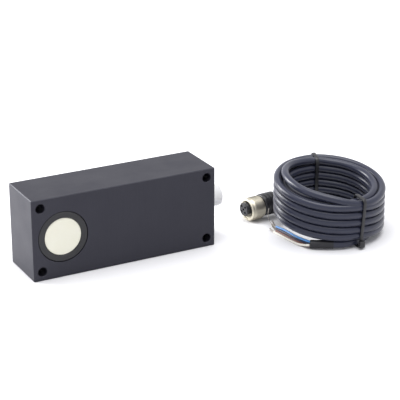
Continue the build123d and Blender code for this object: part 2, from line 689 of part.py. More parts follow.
def along_plug(distance, drop=0):
    """A plane across the plug at a distance behind its mating face, looking along its axis."""
    origin = Vector(PLUG_FACE) + Vector(PLUG_AXIS) * distance - Vector(0, 0, drop)
    return Plane(origin=origin, x_dir=PLUG_SIDE, z_dir=PLUG_AXIS)


with BuildPart() as plug_insert:
    with BuildSketch(along_plug(0)):
        Circle(INSERT_RADIUS)
    extrude(amount=INSERT_FLANGE_START)
    chamfer(plug_insert.edges().group_by(Axis.X)[0], 0.3)
    with BuildSketch(along_plug(INSERT_FLANGE_START)):
        Circle(INSERT_FLANGE_RADIUS)
    extrude(amount=INSERT_LENGTH - INSERT_FLANGE_START)
    with BuildSketch(along_plug(0)):
        Circle(SOCKET_HOLE_RADIUS)
        with PolarLocations(PIN_CIRCLE, POLE_COUNT, start_angle=45):
            Circle(SOCKET_HOLE_RADIUS)
    extrude(amount=INSERT_LENGTH, mode=Mode.SUBTRACT)
    with BuildSketch(along_plug(0)):
        with Locations((0, INSERT_RADIUS - INSERT_RADIUS * 2)):
            Rectangle(KEYWAY_WIDTH, 2 * KEYWAY_DEPTH)
    extrude(amount=KEYWAY_LENGTH, mode=Mode.SUBTRACT)
plug_insert.part.label = "plug_insert"
export_step(plug_insert.part, "parts/plug_insert.step")

with BuildPart() as plug_contacts:
    with BuildSketch(along_plug(CONTACT_START)):
        Circle(CONTACT_RADIUS)
        with PolarLocations(PIN_CIRCLE, POLE_COUNT, start_angle=45):
            Circle(CONTACT_RADIUS)
    extrude(amount=INSERT_LENGTH - CONTACT_START)
    with BuildSketch(along_plug(CONTACT_START)):
        Circle(CONTACT_BORE)
        with PolarLocations(PIN_CIRCLE, POLE_COUNT, start_angle=45):
            Circle(CONTACT_BORE)
    extrude(amount=INSERT_FLANGE_START - CONTACT_START, mode=Mode.SUBTRACT)
plug_contacts.part.label = "plug_contacts"
export_step(plug_contacts.part, "parts/plug_contacts.step")

PLUG_SEAL_SECTION = 0.5
with BuildPart() as plug_o_ring:
    seal_plane = along_plug(INSERT_FLANGE_START - PLUG_SEAL_SECTION)
    with BuildSketch(Plane(origin=seal_plane.origin, x_dir=PLUG_SIDE, z_dir=(0, 0, 1))):
        with Locations((INSERT_RADIUS + PLUG_SEAL_SECTION, 0)):
            Circle(PLUG_SEAL_SECTION - 0.01)
    revolve(axis=Axis(seal_plane.origin, PLUG_AXIS))
plug_o_ring.part.label = "plug_o_ring"
export_step(plug_o_ring.part, "parts/plug_o_ring.step")

# The loose nut hangs on the plug's neck, so its own axis lies a little lower.
NUT_ORIGIN = (PLUG_FACE[0], PLUG_FACE[1], PLUG_FACE[2] - NUT_DROP)
with BuildPart() as coupling_nut:
    with BuildSketch(Plane(origin=NUT_ORIGIN, x_dir=PLUG_AXIS, z_dir=(0, 0, 1))):
        with BuildLine():
            Polyline(
                (NUT_START, NUT_THREAD_RADIUS + 0.4),
                (NUT_START, NUT_BAND_RADIUS - 0.5),
                (NUT_START + 0.5, NUT_BAND_RADIUS),
                (NUT_BAND_END, NUT_BAND_RADIUS),
                (NUT_BAND_END + 0.3, NUT_RADIUS),
                (NUT_END - 0.6, NUT_RADIUS),
                (NUT_END, NUT_RADIUS - 0.6),
                (NUT_END, NUT_COLLAR_RADIUS),
                (NUT_COLLAR_START, NUT_COLLAR_RADIUS),
                (NUT_COLLAR_START, NUT_RELIEF_RADIUS),
                (NUT_THREAD_END, NUT_RELIEF_RADIUS),
                (NUT_THREAD_END, NUT_THREAD_RADIUS),
                (NUT_START + 0.4, NUT_THREAD_RADIUS),
                close=True,
            )
        make_face()
    revolve(axis=Axis(NUT_ORIGIN, PLUG_AXIS))
coupling_nut.part.label = "coupling_nut"
export_step(coupling_nut.part, "parts/coupling_nut.step")

with BuildPart() as plug_body:
    grip_plane = Plane(origin=PLUG_FACE, x_dir=PLUG_AXIS, z_dir=(0, 0, 1))
    with BuildSketch(grip_plane):
        with BuildLine():
            Polyline(
                (INSERT_LENGTH, 0),
                (INSERT_LENGTH, NECK_RADIUS),
                (GRIP_START, NECK_RADIUS),
                (GRIP_START, GRIP_RADIUS - 0.5),
                (GRIP_START + 0.5, GRIP_RADIUS),
                (GRIP_STRAIGHT_END, GRIP_RADIUS),
                (GRIP_END, GRIP_REAR_RADIUS),
                (GRIP_END, 0),
                close=True,
            )
        make_face()
    revolve(axis=Axis(PLUG_FACE, PLUG_AXIS))
    # Grip grooves around the body
    for rib in range(GRIP_RIBS):
        groove_start = GRIP_START + 1.6 + rib * GRIP_RIB_PITCH
        with BuildSketch(along_plug(groove_start)):
            Circle(GRIP_RADIUS + 1)
            Circle(GRIP_RADIUS - GRIP_GROOVE_DEPTH, mode=Mode.SUBTRACT)
        extrude(amount=GRIP_GROOVE_WIDTH, mode=Mode.SUBTRACT)
plug_body.part.label = "plug_body"
export_step(plug_body.part, "parts/plug_body.step")

RELIEF_END = GRIP_END + RELIEF_LENGTH
with BuildPart() as strain_relief:
    relief_start_radius = GRIP_REAR_RADIUS - 0.3
    with BuildSketch(Plane(origin=PLUG_FACE, x_dir=PLUG_AXIS, z_dir=(0, 0, 1))):
        with BuildLine():
            Polyline(
                (GRIP_END, CABLE_RADIUS + CABLE_FIT),
                (GRIP_END, relief_start_radius),
                (RELIEF_END, RELIEF_REAR_RADIUS),
                (RELIEF_END, CABLE_RADIUS + CABLE_FIT),
                close=True,
            )
        make_face()
    revolve(axis=Axis(PLUG_FACE, PLUG_AXIS))
    for groove in range(RELIEF_GROOVES):
        groove_start = GRIP_END + 1.5 + groove * RELIEF_GROOVE_PITCH
        with BuildSketch(along_plug(groove_start)):
            Circle(GRIP_RADIUS)
            Circle(RELIEF_REAR_RADIUS - 0.1, mode=Mode.SUBTRACT)
        extrude(amount=RELIEF_GROOVE_WIDTH, mode=Mode.SUBTRACT)
strain_relief.part.label = "strain_relief"
export_step(strain_relief.part, "parts/strain_relief.step")

# ---------------------------------------------------------------- cable coil
COIL_ORIGIN = (COIL_CENTRE[0], COIL_CENTRE[1], COIL_LIFT)
SLOPE_ANGLE = atan2(COIL_SLOPE, 1)


def coil_point(angle, radius, height):
    """A point of the coil from its angle in degrees, radius and height above its sloping lower face."""
    along_y = radius * sin(radians(angle))
    return (
        COIL_ORIGIN[0] + radius * cos(radians(angle)),
        COIL_ORIGIN[1] + along_y,
        COIL_ORIGIN[2] + along_y * COIL_SLOPE + height,
    )


def tie_plane(angle):
    """The upright plane of a cable tie: local x runs outwards, local y up."""
    outwards = (cos(radians(angle)), sin(radians(angle)), 0)
    clockwise = (sin(radians(angle)), -cos(radians(angle)), 0)
    return Plane(origin=COIL_ORIGIN, x_dir=outwards, z_dir=clockwise)


def wall_section(angle, inner, outer, low, high):
    """The coil wall's upright section at an angle, with its sloping top and bottom."""
    slope = COIL_SLOPE * sin(radians(angle))
    corners = [(inner, low), (outer, low), (outer, high), (inner, high)]
    return Polygon(*[(x, y + slope * x) for x, y in corners], align=None)


def slice_corners(start, end):
    """Corners of a pie slice that reaches past the coil's rim."""
    angles = [start, (start + end) / 2, end]
    return [(0, 0)] + [(REACH * cos(radians(a)), REACH * sin(radians(a))) for a in angles]


def coil_slab(height, thickness, inner, outer, corners=None):
    """A layer of the coil: an upright ring, or a slice of one, between two sloping planes."""
    ring = Circle(outer) - Circle(inner)
    if corners:
        ring = ring & Polygon(*corners, align=None)
    upright = Pos(COIL_CENTRE[0], COIL_CENTRE[1], 0) * extrude(ring, REACH)
    slope_plane = Plane(
        origin=coil_point(0, 0, height), x_dir=(1, 0, 0), z_dir=(0, -sin(SLOPE_ANGLE), cos(SLOPE_ANGLE))
    )
    layer = Box(2 * REACH, 2 * REACH, thickness * cos(SLOPE_ANGLE), align=(Align.CENTER, Align.CENTER, Align.MIN))
    return upright & (slope_plane * layer)


TIES = {
    "cable_tie_front": (FRONT_TIE_ANGLE, FRONT_TIE_HEIGHT, FRONT_TIE_HEAD),
    "cable_tie_rear": (REAR_TIE_ANGLE, REAR_TIE_HEIGHT, REAR_TIE_HEAD),
}


def tie_opening(angle, tie_height, clearance):
    """The inside of a tie, made smaller by a clearance."""
    return wall_section(
        angle,
        COIL_INNER_RADIUS + TIE_SINK + clearance,
        COIL_OUTER_RADIUS - TIE_SINK - clearance,
        TIE_BOTTOM_SINK + clearance,
        tie_height - clearance,
    )


def tie_groove(angle):
    """The channel that a tie presses into both walls and the underside of the coil."""
    channel = Pos(COIL_OUTER_RADIUS, COIL_HEIGHT / 2) * Rectangle(4 * ROW, 3 * COIL_HEIGHT)
    channel -= tie_opening(angle, 2 * COIL_HEIGHT, TIE_CLEARANCE)
    return tie_plane(angle) * extrude(channel, TIE_WIDTH / 2 + TIE_CLEARANCE, both=True)


# Bottom row: the inner column all round, the outer column from the tail to the lead.
# Above it both columns are complete, and one turn crosses over the top.
coil_shape = coil_slab(0, ROW, COIL_INNER_RADIUS, COLUMN_SPLIT_RADIUS)
coil_shape += coil_slab(0, ROW, COIL_INNER_RADIUS, COIL_OUTER_RADIUS, slice_corners(TAIL_LEAVES_AT, LEAD_JOINS_AT))
coil_shape += coil_slab(ROW, COIL_HEIGHT - ROW, COIL_INNER_RADIUS, COIL_OUTER_RADIUS)
for tie_angle, tie_height, tie_head in TIES.values():
    coil_shape -= tie_groove(tie_angle)
coil_shape += coil_slab(
    COIL_HEIGHT, ROW, COIL_INNER_RADIUS + 0.5, COIL_OUTER_RADIUS - 1, slice_corners(CROSSING_START, CROSSING_END)
)
with BuildPart() as cable_coil:
    add(coil_shape)
cable_coil.part.label = "cable_coil"
export_step(cable_coil.part, "parts/cable_coil.step")

for tie_name, (tie_angle, tie_height, tie_head) in TIES.items():
    opening = tie_opening(tie_angle, tie_height, 0)
    strap = offset(opening, TIE_THICKNESS) - opening
    slope_rise = COIL_SLOPE * sin(radians(tie_angle)) * COIL_OUTER_RADIUS
    head = Pos(
        COIL_OUTER_RADIUS + TIE_CLEARANCE + TIE_HEAD_DEPTH / 2, slope_rise + tie_head + TIE_HEAD_HEIGHT / 2
    ) * RectangleRounded(TIE_HEAD_DEPTH, TIE_HEAD_HEIGHT, 0.6)
    strap_solid = tie_plane(tie_angle) * extrude(strap, TIE_WIDTH / 2, both=True)
    head_solid = tie_plane(tie_angle) * extrude(head, TIE_HEAD_WIDTH / 2, both=True)
    with BuildPart() as cable_tie:
        add(strap_solid)
        add(head_solid)
    cable_tie.part.label = tie_name
    export_step(cable_tie.part, f"parts/{tie_name}.step")

# ---------------------------------------------------------------- lead from the plug to the coil
LEAD_START = along_plug(GRIP_END).origin
LEAD_END = coil_point(LEAD_JOINS_AT, OUTER_TURN_RADIUS, CABLE_RADIUS)
LEAD_ROUTE = [
    tuple(LEAD_START),
    tuple(along_plug(GRIP_END + 11).origin),
    (145.0, 10.7, 8.5),
    (155.6, 6.1, 8.7),
    (162.0, -2.6, 9.2),
    (164.9, -12.2, 9.1),
    LEAD_END,
]
with BuildPart() as cable_lead:
    with BuildLine():
        FilletPolyline(*LEAD_ROUTE, radius=tube_radii(LEAD_ROUTE))
    with BuildSketch(along_plug(GRIP_END)):
        Circle(CABLE_RADIUS)
    sweep()
cable_lead.part.label = "cable_lead"
export_step(cable_lead.part, "parts/cable_lead.step")
report_tube("cable_lead", LEAD_ROUTE, cable_lead.part, CABLE_RADIUS)

# ---------------------------------------------------------------- tail, sleeve and stripped cores
TAIL_START = coil_point(TAIL_LEAVES_AT, OUTER_TURN_RADIUS, CABLE_RADIUS)
TAIL_ROUTE = [
    TAIL_START,
    (112.8, -55.0, 2.9),
    (107.2, -49.4, 2.95),
]
with BuildPart() as cable_tail:
    with BuildLine():
        FilletPolyline(*TAIL_ROUTE, radius=tube_radii(TAIL_ROUTE))
    tail_heading = Vector(TAIL_ROUTE[1]) - Vector(TAIL_ROUTE[0])
    with BuildSketch(Plane(origin=TAIL_START, z_dir=tail_heading)):
        Circle(CABLE_RADIUS)
    sweep()
cable_tail.part.label = "cable_tail"
export_step(cable_tail.part, "parts/cable_tail.step")
report_tube("cable_tail", TAIL_ROUTE, cable_tail.part, CABLE_RADIUS)

TAIL_END = Vector(TAIL_ROUTE[-1])
TAIL_HEADING = (TAIL_END - Vector(TAIL_ROUTE[-2])).normalized()
TAIL_END_PLANE = Plane(origin=TAIL_END, x_dir=(-TAIL_HEADING.Y, TAIL_HEADING.X, 0), z_dir=TAIL_HEADING)
with BuildPart() as end_sleeve:
    with BuildSketch(Plane(origin=TAIL_END - TAIL_HEADING * SLEEVE_LENGTH, z_dir=TAIL_HEADING)):
        Circle(SLEEVE_RADIUS)
        Circle(CABLE_RADIUS + CABLE_FIT, mode=Mode.SUBTRACT)
    extrude(amount=SLEEVE_LENGTH)
end_sleeve.part.label = "end_sleeve"
export_step(end_sleeve.part, "parts/end_sleeve.step")


# Stripped cores: each leaves the sleeve's end and runs back beside the coil.
CORE_STEP = 1.45
CORE_PLACES = {
    "core_blue": (0.0, CORE_STEP),
    "core_brown": (-CORE_STEP, 0.0),
    "core_white": (CORE_STEP, -0.2),
    "core_black": (0.0, 0.0),
    "core_grey": (0.0, -CORE_STEP),
}
CORE_ROUTES = {
    "core_blue": [
        (105.3, -43.7, 3.9),
        (104.2, -37.4, 3.2),
        (103.9, -30.0, 3.1),
        (103.9, -22.8, 2.8),
        (103.1, -16.3, 2.6),
    ],
    "core_brown": [
        (106.0, -44.6, 2.4),
        (104.2, -38.8, 2.0),
        (103.2, -32.0, 1.8),
        (102.7, -25.3, 1.9),
        (101.9, -18.8, 1.9),
    ],
    "core_white": [
        (103.9, -45.4, 1.2),
        (102.8, -38.5, 0.75),
        (101.8, -31.0, 0.8),
        (101.1, -24.3, 0.75),
        (100.4, -18.0, 0.75),
    ],
    "core_black": [
        (105.4, -45.0, 0.9),
        (105.2, -38.8, 0.75),
        (104.5, -32.0, 0.75),
        (104.2, -25.0, 0.8),
        (103.6, -18.6, 0.75),
    ],
    "core_grey": [
        (107.9, -45.2, 0.8),
        (106.9, -39.0, 0.75),
        (106.1, -32.2, 0.8),
        (105.7, -25.4, 0.75),
        (105.3, -19.2, 0.8),
    ],
}
TIP_LENGTH = 4.0
core_ends = []
for core_name, (sideways, upwards) in CORE_PLACES.items():
    start = Vector(TAIL_END_PLANE.from_local_coords((sideways, upwards, 0)))
    route = [tuple(start)] + CORE_ROUTES[core_name]
    with BuildPart() as core:
        with BuildLine():
            FilletPolyline(*route, radius=tube_radii(route))
        heading = (Vector(route[1]) - Vector(route[0])).normalized()
        with BuildSketch(Plane(origin=route[0], z_dir=heading)):
            Circle(CORE_RADIUS)
        sweep()
    core.part.label = core_name
    export_step(core.part, f"parts/{core_name}.step")
    report_tube(core_name, route, core.part, CORE_RADIUS)
    core_ends.append((Vector(route[-1]), (Vector(route[-1]) - Vector(route[-2])).normalized()))

with BuildPart() as core_tips:
    for tip_start, tip_heading in core_ends:
        with BuildSketch(Plane(origin=tip_start, z_dir=tip_heading)):
            Circle(TIP_RADIUS)
        extrude(amount=TIP_LENGTH)
core_tips.part.label = "core_tips"
export_step(core_tips.part, "parts/core_tips.step")
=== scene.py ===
"""Looks of the ultrasonic distance sensor and its unplugged cordset.

Laid out as a Blender add-on: the settings that a user would change are properties, each group of
pieces is one operator, and main() runs them in order. Lengths in the code are in millimetres
where a name ends in _mm, and in metres elsewhere.
"""

from math import atan2, cos, pi, radians, sin, sqrt

import bpy
from mathutils import Matrix, Vector, noise


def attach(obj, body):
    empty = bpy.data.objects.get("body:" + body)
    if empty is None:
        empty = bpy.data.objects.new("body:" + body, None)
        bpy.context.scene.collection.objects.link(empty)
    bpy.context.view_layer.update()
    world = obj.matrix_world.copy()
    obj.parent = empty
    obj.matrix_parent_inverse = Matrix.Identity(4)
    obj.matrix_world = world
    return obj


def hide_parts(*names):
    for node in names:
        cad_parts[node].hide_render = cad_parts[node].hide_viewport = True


bl_info = {
    "name": "Ultrasonic Distance Sensor",
    "version": (1, 0, 0),
    "blender": (4, 5, 0),
    "location": "View3D > Sidebar > Sensor",
    "description": "Dresses the packed sensor and its cordset with detailed pieces and materials",
    "category": "Object",
}

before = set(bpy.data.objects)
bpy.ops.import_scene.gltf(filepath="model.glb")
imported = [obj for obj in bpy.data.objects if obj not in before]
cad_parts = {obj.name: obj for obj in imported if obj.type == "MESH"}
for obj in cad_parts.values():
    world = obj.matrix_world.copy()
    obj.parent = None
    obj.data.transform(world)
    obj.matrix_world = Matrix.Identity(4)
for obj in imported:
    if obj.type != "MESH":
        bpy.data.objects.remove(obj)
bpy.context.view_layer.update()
MM = 0.001


class StageSettings(bpy.types.PropertyGroup):
    """Camera, floor and lamps."""

    azimuth: bpy.props.FloatProperty(
        name="Azimuth", description="Turn of the camera about the vertical, from looking along +Y",
        default=radians(-28.147), subtype="ANGLE",
    )
    elevation: bpy.props.FloatProperty(
        name="Elevation", description="Angle of the camera above the horizon",
        default=radians(21.459), subtype="ANGLE",
    )
    distance: bpy.props.FloatProperty(
        name="Distance", description="From the camera to the point it looks at",
        default=0.91828, min=0.2, unit="LENGTH",
    )
    target: bpy.props.FloatVectorProperty(
        name="Target", description="Point that the camera looks at",
        default=(0.05803, 0.0, 0.023525), subtype="TRANSLATION", unit="LENGTH",
    )
    lens: bpy.props.FloatProperty(
        name="Lens", description="Focal length on a sensor 36 mm wide", default=135.0, min=20.0,
    )
    world_strength: bpy.props.FloatProperty(
        name="Room Light", description="Brightness of the white room around the object",
        default=0.62, min=0.0,
    )
    top_power: bpy.props.FloatProperty(
        name="Top Lamp", description="Power of the large lamp above, in watts", default=10.5, min=0.0,
    )
    side_power: bpy.props.FloatProperty(
        name="Side Lamp", description="Power of the low lamp behind the left end, in watts",
        default=23.0, min=0.0,
    )


class CableSettings(bpy.types.PropertyGroup):
    """The coiled cable."""

    diameter: bpy.props.FloatProperty(
        name="Diameter", description="Outside diameter of the jacket",
        default=0.0047, min=0.002, unit="LENGTH",
    )
    centre: bpy.props.FloatVectorProperty(
        name="Coil Centre", description="Middle of the coil's lower face",
        default=(0.1332, -0.0288, 0.00517), subtype="TRANSLATION", unit="LENGTH",
    )
    slope: bpy.props.FloatProperty(
        name="Slope", description="Rise of every turn per length towards the back", default=0.148,
    )
    outer_radius: bpy.props.FloatProperty(
        name="Outer Turns", description="Radius of the outer column of turns", default=0.03225, unit="LENGTH",
    )
    inner_radius: bpy.props.FloatProperty(
        name="Inner Turns", description="Radius of the inner column of turns", default=0.0275, unit="LENGTH",
    )
    row: bpy.props.FloatProperty(
        name="Row Pitch", description="Height from one row of turns to the next",
        default=0.00475, unit="LENGTH",
    )
    wander: bpy.props.FloatProperty(
        name="Wander", description="How far a turn strays from a perfect circle",
        default=0.00022, unit="LENGTH",
    )
    sleeve: bpy.props.FloatProperty(
        name="End Sleeve", description="Length of the shrunk sleeve", default=0.013, unit="LENGTH",
    )
    jacket: bpy.props.StringProperty(
        name="Jacket", description="Colour of the jacket, sRGB hex", default="1b1f33",
    )


class HousingSettings(bpy.types.PropertyGroup):
    """The anodised block and its transducer."""

    anodise: bpy.props.StringProperty(
        name="Anodised Black", description="Colour of the anodised surface, sRGB hex", default="22222c",
    )
    grain_mm: bpy.props.FloatProperty(
        name="Grain", description="Width of the surface's fine lines, in millimetres", default=0.35, min=0.05,
    )
    face: bpy.props.StringProperty(
        name="Transducer Face", description="Colour of the pale face, sRGB hex", default="e9e8da",
    )


class PlugSettings(bpy.types.PropertyGroup):
    """The cordset's plug and the receptacle's cap."""

    knurl_count: bpy.props.IntProperty(
        name="Knurl Ridges", description="Ridges around the coupling nut", default=38, min=24,
    )
    nickel: bpy.props.StringProperty(
        name="Nickel", description="Colour of the plating, sRGB hex", default="d6d0bf",
    )
    cap: bpy.props.StringProperty(
        name="Cap", description="Colour of the dust cap, sRGB hex", default="ffffff",
    )


def linear(hex_colour):
    """An sRGB hex colour as linear red, green, blue and full alpha."""
    values = [int(hex_colour[i : i + 2], 16) / 255 for i in (0, 2, 4)]
    return [v / 12.92 if v <= 0.04045 else ((v + 0.055) / 1.055) ** 2.4 for v in values] + [1.0]


def add_node(tree, kind, sockets=None, **settings):
    """Add a node with its settings; each socket gets a number, a colour or another node's output."""
    made = tree.nodes.new(kind)
    for name, value in settings.items():
        setattr(made, name, value)
    for name, value in (sockets or {}).items():
        if isinstance(value, bpy.types.NodeSocket):
            tree.links.new(value, made.inputs[name])
        else:
            made.inputs[name].default_value = value
    return made


def new_material(name):
    """A material with a bare shader, and its node tree and shader."""
    material = bpy.data.materials.new(name)
    material.use_nodes = True
    tree = material.node_tree
    return material, tree, tree.nodes["Principled BSDF"]


def per_mm(size_mm):
    """The scale that makes a pattern of about this size, in millimetres, on Object coordinates."""
    return 1 / (size_mm * MM)


def dress(obj, material):
    """Give a piece or a CAD node its material."""
    obj.data.materials.clear()
    obj.data.materials.append(material)


def deselect():
    """Nothing selected, in object mode."""
    if bpy.context.object and bpy.context.object.mode != "OBJECT":
        bpy.ops.object.mode_set(mode="OBJECT")
    bpy.ops.object.select_all(action="DESELECT")


def settle(obj, matrix=None):
    """Put a piece in place and leave its object at the origin, with its place in its mesh."""
    deselect()
    obj.select_set(True)
    bpy.context.view_layer.objects.active = obj
    if matrix is not None:
        obj.matrix_world = matrix
    bpy.ops.object.transform_apply(location=True, rotation=True, scale=True)


def turned(name, profile, sides=96, closed=False):
    """Turn a piece about the X axis from (x, radius) steps in metres, by extruding a ring step by step."""
    deselect()
    x, radius = profile[0]
    bpy.ops.mesh.primitive_circle_add(
        vertices=sides, radius=radius, location=(x, 0, 0), rotation=(0, pi / 2, 0)
    )
    piece = bpy.context.object
    piece.name = name
    bpy.ops.object.transform_apply(location=True, rotation=True, scale=True)
    bpy.ops.object.mode_set(mode="EDIT")
    bpy.ops.mesh.select_all(action="SELECT")
    for next_x, next_radius in profile[1:]:
        bpy.ops.mesh.extrude_edges_move(TRANSFORM_OT_translate={"value": (next_x - x, 0, 0)})
        factor = next_radius / radius
        bpy.ops.transform.resize(
            value=(1, factor, factor), center_override=(next_x, 0, 0), orient_type="GLOBAL"
        )
        x, radius = next_x, next_radius
    if not closed:
        bpy.ops.mesh.edge_face_add()
    bpy.ops.mesh.select_all(action="SELECT")
    bpy.ops.mesh.remove_doubles(threshold=1e-6)
    if not closed:
        bpy.ops.mesh.select_all(action="DESELECT")
        bpy.ops.mesh.select_non_manifold()
        bpy.ops.mesh.edge_face_add()
    bpy.ops.mesh.select_all(action="SELECT")
    bpy.ops.mesh.normals_make_consistent(inside=False)
    bpy.ops.object.mode_set(mode="OBJECT")
    bpy.ops.object.shade_smooth_by_angle(angle=radians(32))
    return piece


def round_line(name, points, radius, smoothness=12, roundness=3):
    """A round NURBS line through control points in metres, as an object."""
    curve = bpy.data.curves.new(name, "CURVE")
    curve.dimensions = "3D"
    curve.bevel_depth = radius
    curve.bevel_resolution = roundness
    curve.use_fill_caps = True
    spline = curve.splines.new("NURBS")
    spline.points.add(len(points) - 1)
    for place, point in zip(spline.points, points):
        place.co = (*point, 1)
    spline.order_u = 3
    spline.use_endpoint_u = True
    spline.resolution_u = smoothness
    line = bpy.data.objects.new(name, curve)
    bpy.context.collection.objects.link(line)
    return line


def curve_mesh(holder):
    """The mesh that a curve object draws; the object itself is removed."""
    bpy.context.view_layer.update()
    mesh = bpy.data.meshes.new_from_object(holder.evaluated_get(bpy.context.evaluated_depsgraph_get()))
    bpy.data.objects.remove(holder)
    return mesh


def along(points, radius):
    """The mesh of a short round bar along points in metres."""
    return curve_mesh(round_line("bar", points, radius))


def centre_line(cable):
    """Points along the middle of a cable, in metres."""
    bare = cable.data.copy()
    bare.bevel_depth = 0
    holder = bpy.data.objects.new("line", bare)
    bpy.context.collection.objects.link(holder)
    return [vertex.co.copy() for vertex in curve_mesh(holder).vertices]


def join(name, pieces):
    """Join pieces into one of that name."""
    deselect()
    for piece in pieces:
        piece.select_set(True)
    bpy.context.view_layer.objects.active = pieces[0]
    bpy.ops.object.join()
    pieces[0].name = name
    return pieces[0]


def anodised_aluminium(name, colour, grain_mm):
    """Aluminium, milled and black anodised: a satin skin with fine upright lines and faint clouding."""
    material, tree, shader = new_material(name)
    place = add_node(tree, "ShaderNodeTexCoord").outputs["Object"]
    # Milling lines run upright: narrow across, long in Z
    stretched = add_node(tree, "ShaderNodeMapping", {"Vector": place, "Scale": (1, 1, 0.02)})
    lines = add_node(
        tree, "ShaderNodeTexNoise",
        {"Vector": stretched.outputs["Vector"], "Scale": per_mm(grain_mm), "Detail": 5.0, "Roughness": 0.65},
    )
    cloud = add_node(tree, "ShaderNodeTexNoise", {"Vector": place, "Scale": per_mm(18), "Detail": 3.0})
    grit = add_node(tree, "ShaderNodeTexNoise", {"Vector": place, "Scale": per_mm(0.25), "Detail": 2.0})
    dark = linear(colour)
    pale = [min(1, v * 1.45) for v in dark[:3]] + [1]
    shade = add_node(
        tree, "ShaderNodeMix", {"Factor": lines.outputs["Fac"], "A": dark, "B": pale}, data_type="RGBA"
    )
    tree.links.new(shade.outputs[2], shader.inputs["Base Color"])
    rough = add_node(
        tree, "ShaderNodeMapRange",
        {"Value": cloud.outputs["Fac"], "From Min": 0.3, "From Max": 0.7, "To Min": 0.40, "To Max": 0.50},
    )
    tree.links.new(rough.outputs["Result"], shader.inputs["Roughness"])
    height = add_node(
        tree, "ShaderNodeMath", {0: lines.outputs["Fac"], 1: grit.outputs["Fac"]}, operation="ADD"
    )
    bump = add_node(
        tree, "ShaderNodeBump", {"Strength": 0.25, "Distance": 0.00003, "Height": height.outputs["Value"]}
    )
    tree.links.new(bump.outputs["Normal"], shader.inputs["Normal"])
    shader.inputs["Metallic"].default_value = 0.35
    return material


def speckled(name, colour, spread, grain_mm, roughness, bump_mm, metallic=0.0, ior=1.5):
    """A moulded, cast or plated surface: one colour with a fine grain in shade, gloss and height."""
    material, tree, shader = new_material(name)
    place = add_node(tree, "ShaderNodeTexCoord").outputs["Object"]
    grain = add_node(
        tree, "ShaderNodeTexNoise",
        {"Vector": place, "Scale": per_mm(grain_mm), "Detail": 4.0, "Roughness": 0.6},
    )
    broad = add_node(
        tree, "ShaderNodeTexNoise", {"Vector": place, "Scale": per_mm(grain_mm * 14), "Detail": 2.0}
    )
    base = linear(colour)
    low = [v * (1 - spread) for v in base[:3]] + [1]
    high = [min(1, v * (1 + spread)) for v in base[:3]] + [1]
    shade = add_node(
        tree, "ShaderNodeMix", {"Factor": grain.outputs["Fac"], "A": low, "B": high}, data_type="RGBA"
    )
    tree.links.new(shade.outputs[2], shader.inputs["Base Color"])
    rough = add_node(
        tree, "ShaderNodeMapRange",
        {"Value": broad.outputs["Fac"], "From Min": 0.3, "From Max": 0.7,
         "To Min": max(0.02, roughness - 0.05), "To Max": min(1, roughness + 0.05)},
    )
    tree.links.new(rough.outputs["Result"], shader.inputs["Roughness"])
    bump = add_node(
        tree, "ShaderNodeBump", {"Strength": 0.5, "Distance": bump_mm * MM, "Height": grain.outputs["Fac"]}
    )
    tree.links.new(bump.outputs["Normal"], shader.inputs["Normal"])
    shader.inputs["Metallic"].default_value = metallic
    shader.inputs["IOR"].default_value = ior
    return material


def glass_bead_epoxy(name, colour):
    """Epoxy filled with glass beads, cast and ground flat: chalky, with pin-prick pores."""
    material, tree, shader = new_material(name)
    place = add_node(tree, "ShaderNodeTexCoord").outputs["Object"]
    beads = add_node(tree, "ShaderNodeTexVoronoi", {"Vector": place, "Scale": per_mm(0.35)})
    cloud = add_node(tree, "ShaderNodeTexNoise", {"Vector": place, "Scale": per_mm(7), "Detail": 3.0})
    base = linear(colour)
    warm = [base[0] * 0.96, base[1] * 0.95, base[2] * 0.90, 1]
    shade = add_node(
        tree, "ShaderNodeMix", {"Factor": cloud.outputs["Fac"], "A": base, "B": warm}, data_type="RGBA"
    )
    tree.links.new(shade.outputs[2], shader.inputs["Base Color"])
    bump = add_node(
        tree, "ShaderNodeBump", {"Strength": 0.35, "Distance": 0.00002, "Height": beads.outputs["Distance"]}
    )
    tree.links.new(bump.outputs["Normal"], shader.inputs["Normal"])
    shader.inputs["Roughness"].default_value = 0.62
    return material


def knurled_nickel(name, colour):
    """Nickel-plated brass, knurled: bright metal, with painted shade that darkens its grooves, found by
    pointiness, while the crests keep the full colour.
    """
    material, tree, shader = new_material(name)
    place = add_node(tree, "ShaderNodeTexCoord").outputs["Object"]
    grime = add_node(tree, "ShaderNodeTexNoise", {"Vector": place, "Scale": per_mm(2.2), "Detail": 3.0})
    base = linear(colour)
    # Painted shade: the grooves, found by pointiness, are darkened to a quarter of the metal's colour
    groove_shade = [v * 0.25 for v in base[:3]] + [1]
    geometry = add_node(tree, "ShaderNodeNewGeometry")
    crest = add_node(
        tree, "ShaderNodeMapRange",
        {"Value": geometry.outputs["Pointiness"], "From Min": 0.40, "From Max": 0.53},
    )
    shade = add_node(
        tree, "ShaderNodeMix", {"Factor": crest.outputs["Result"], "A": groove_shade, "B": base}, data_type="RGBA"
    )
    tree.links.new(shade.outputs[2], shader.inputs["Base Color"])
    rough = add_node(
        tree, "ShaderNodeMapRange",
        {"Value": grime.outputs["Fac"], "From Min": 0.3, "From Max": 0.7, "To Min": 0.52, "To Max": 0.42},
    )
    tree.links.new(rough.outputs["Result"], shader.inputs["Roughness"])
    shader.inputs["Metallic"].default_value = 1.0
    return material


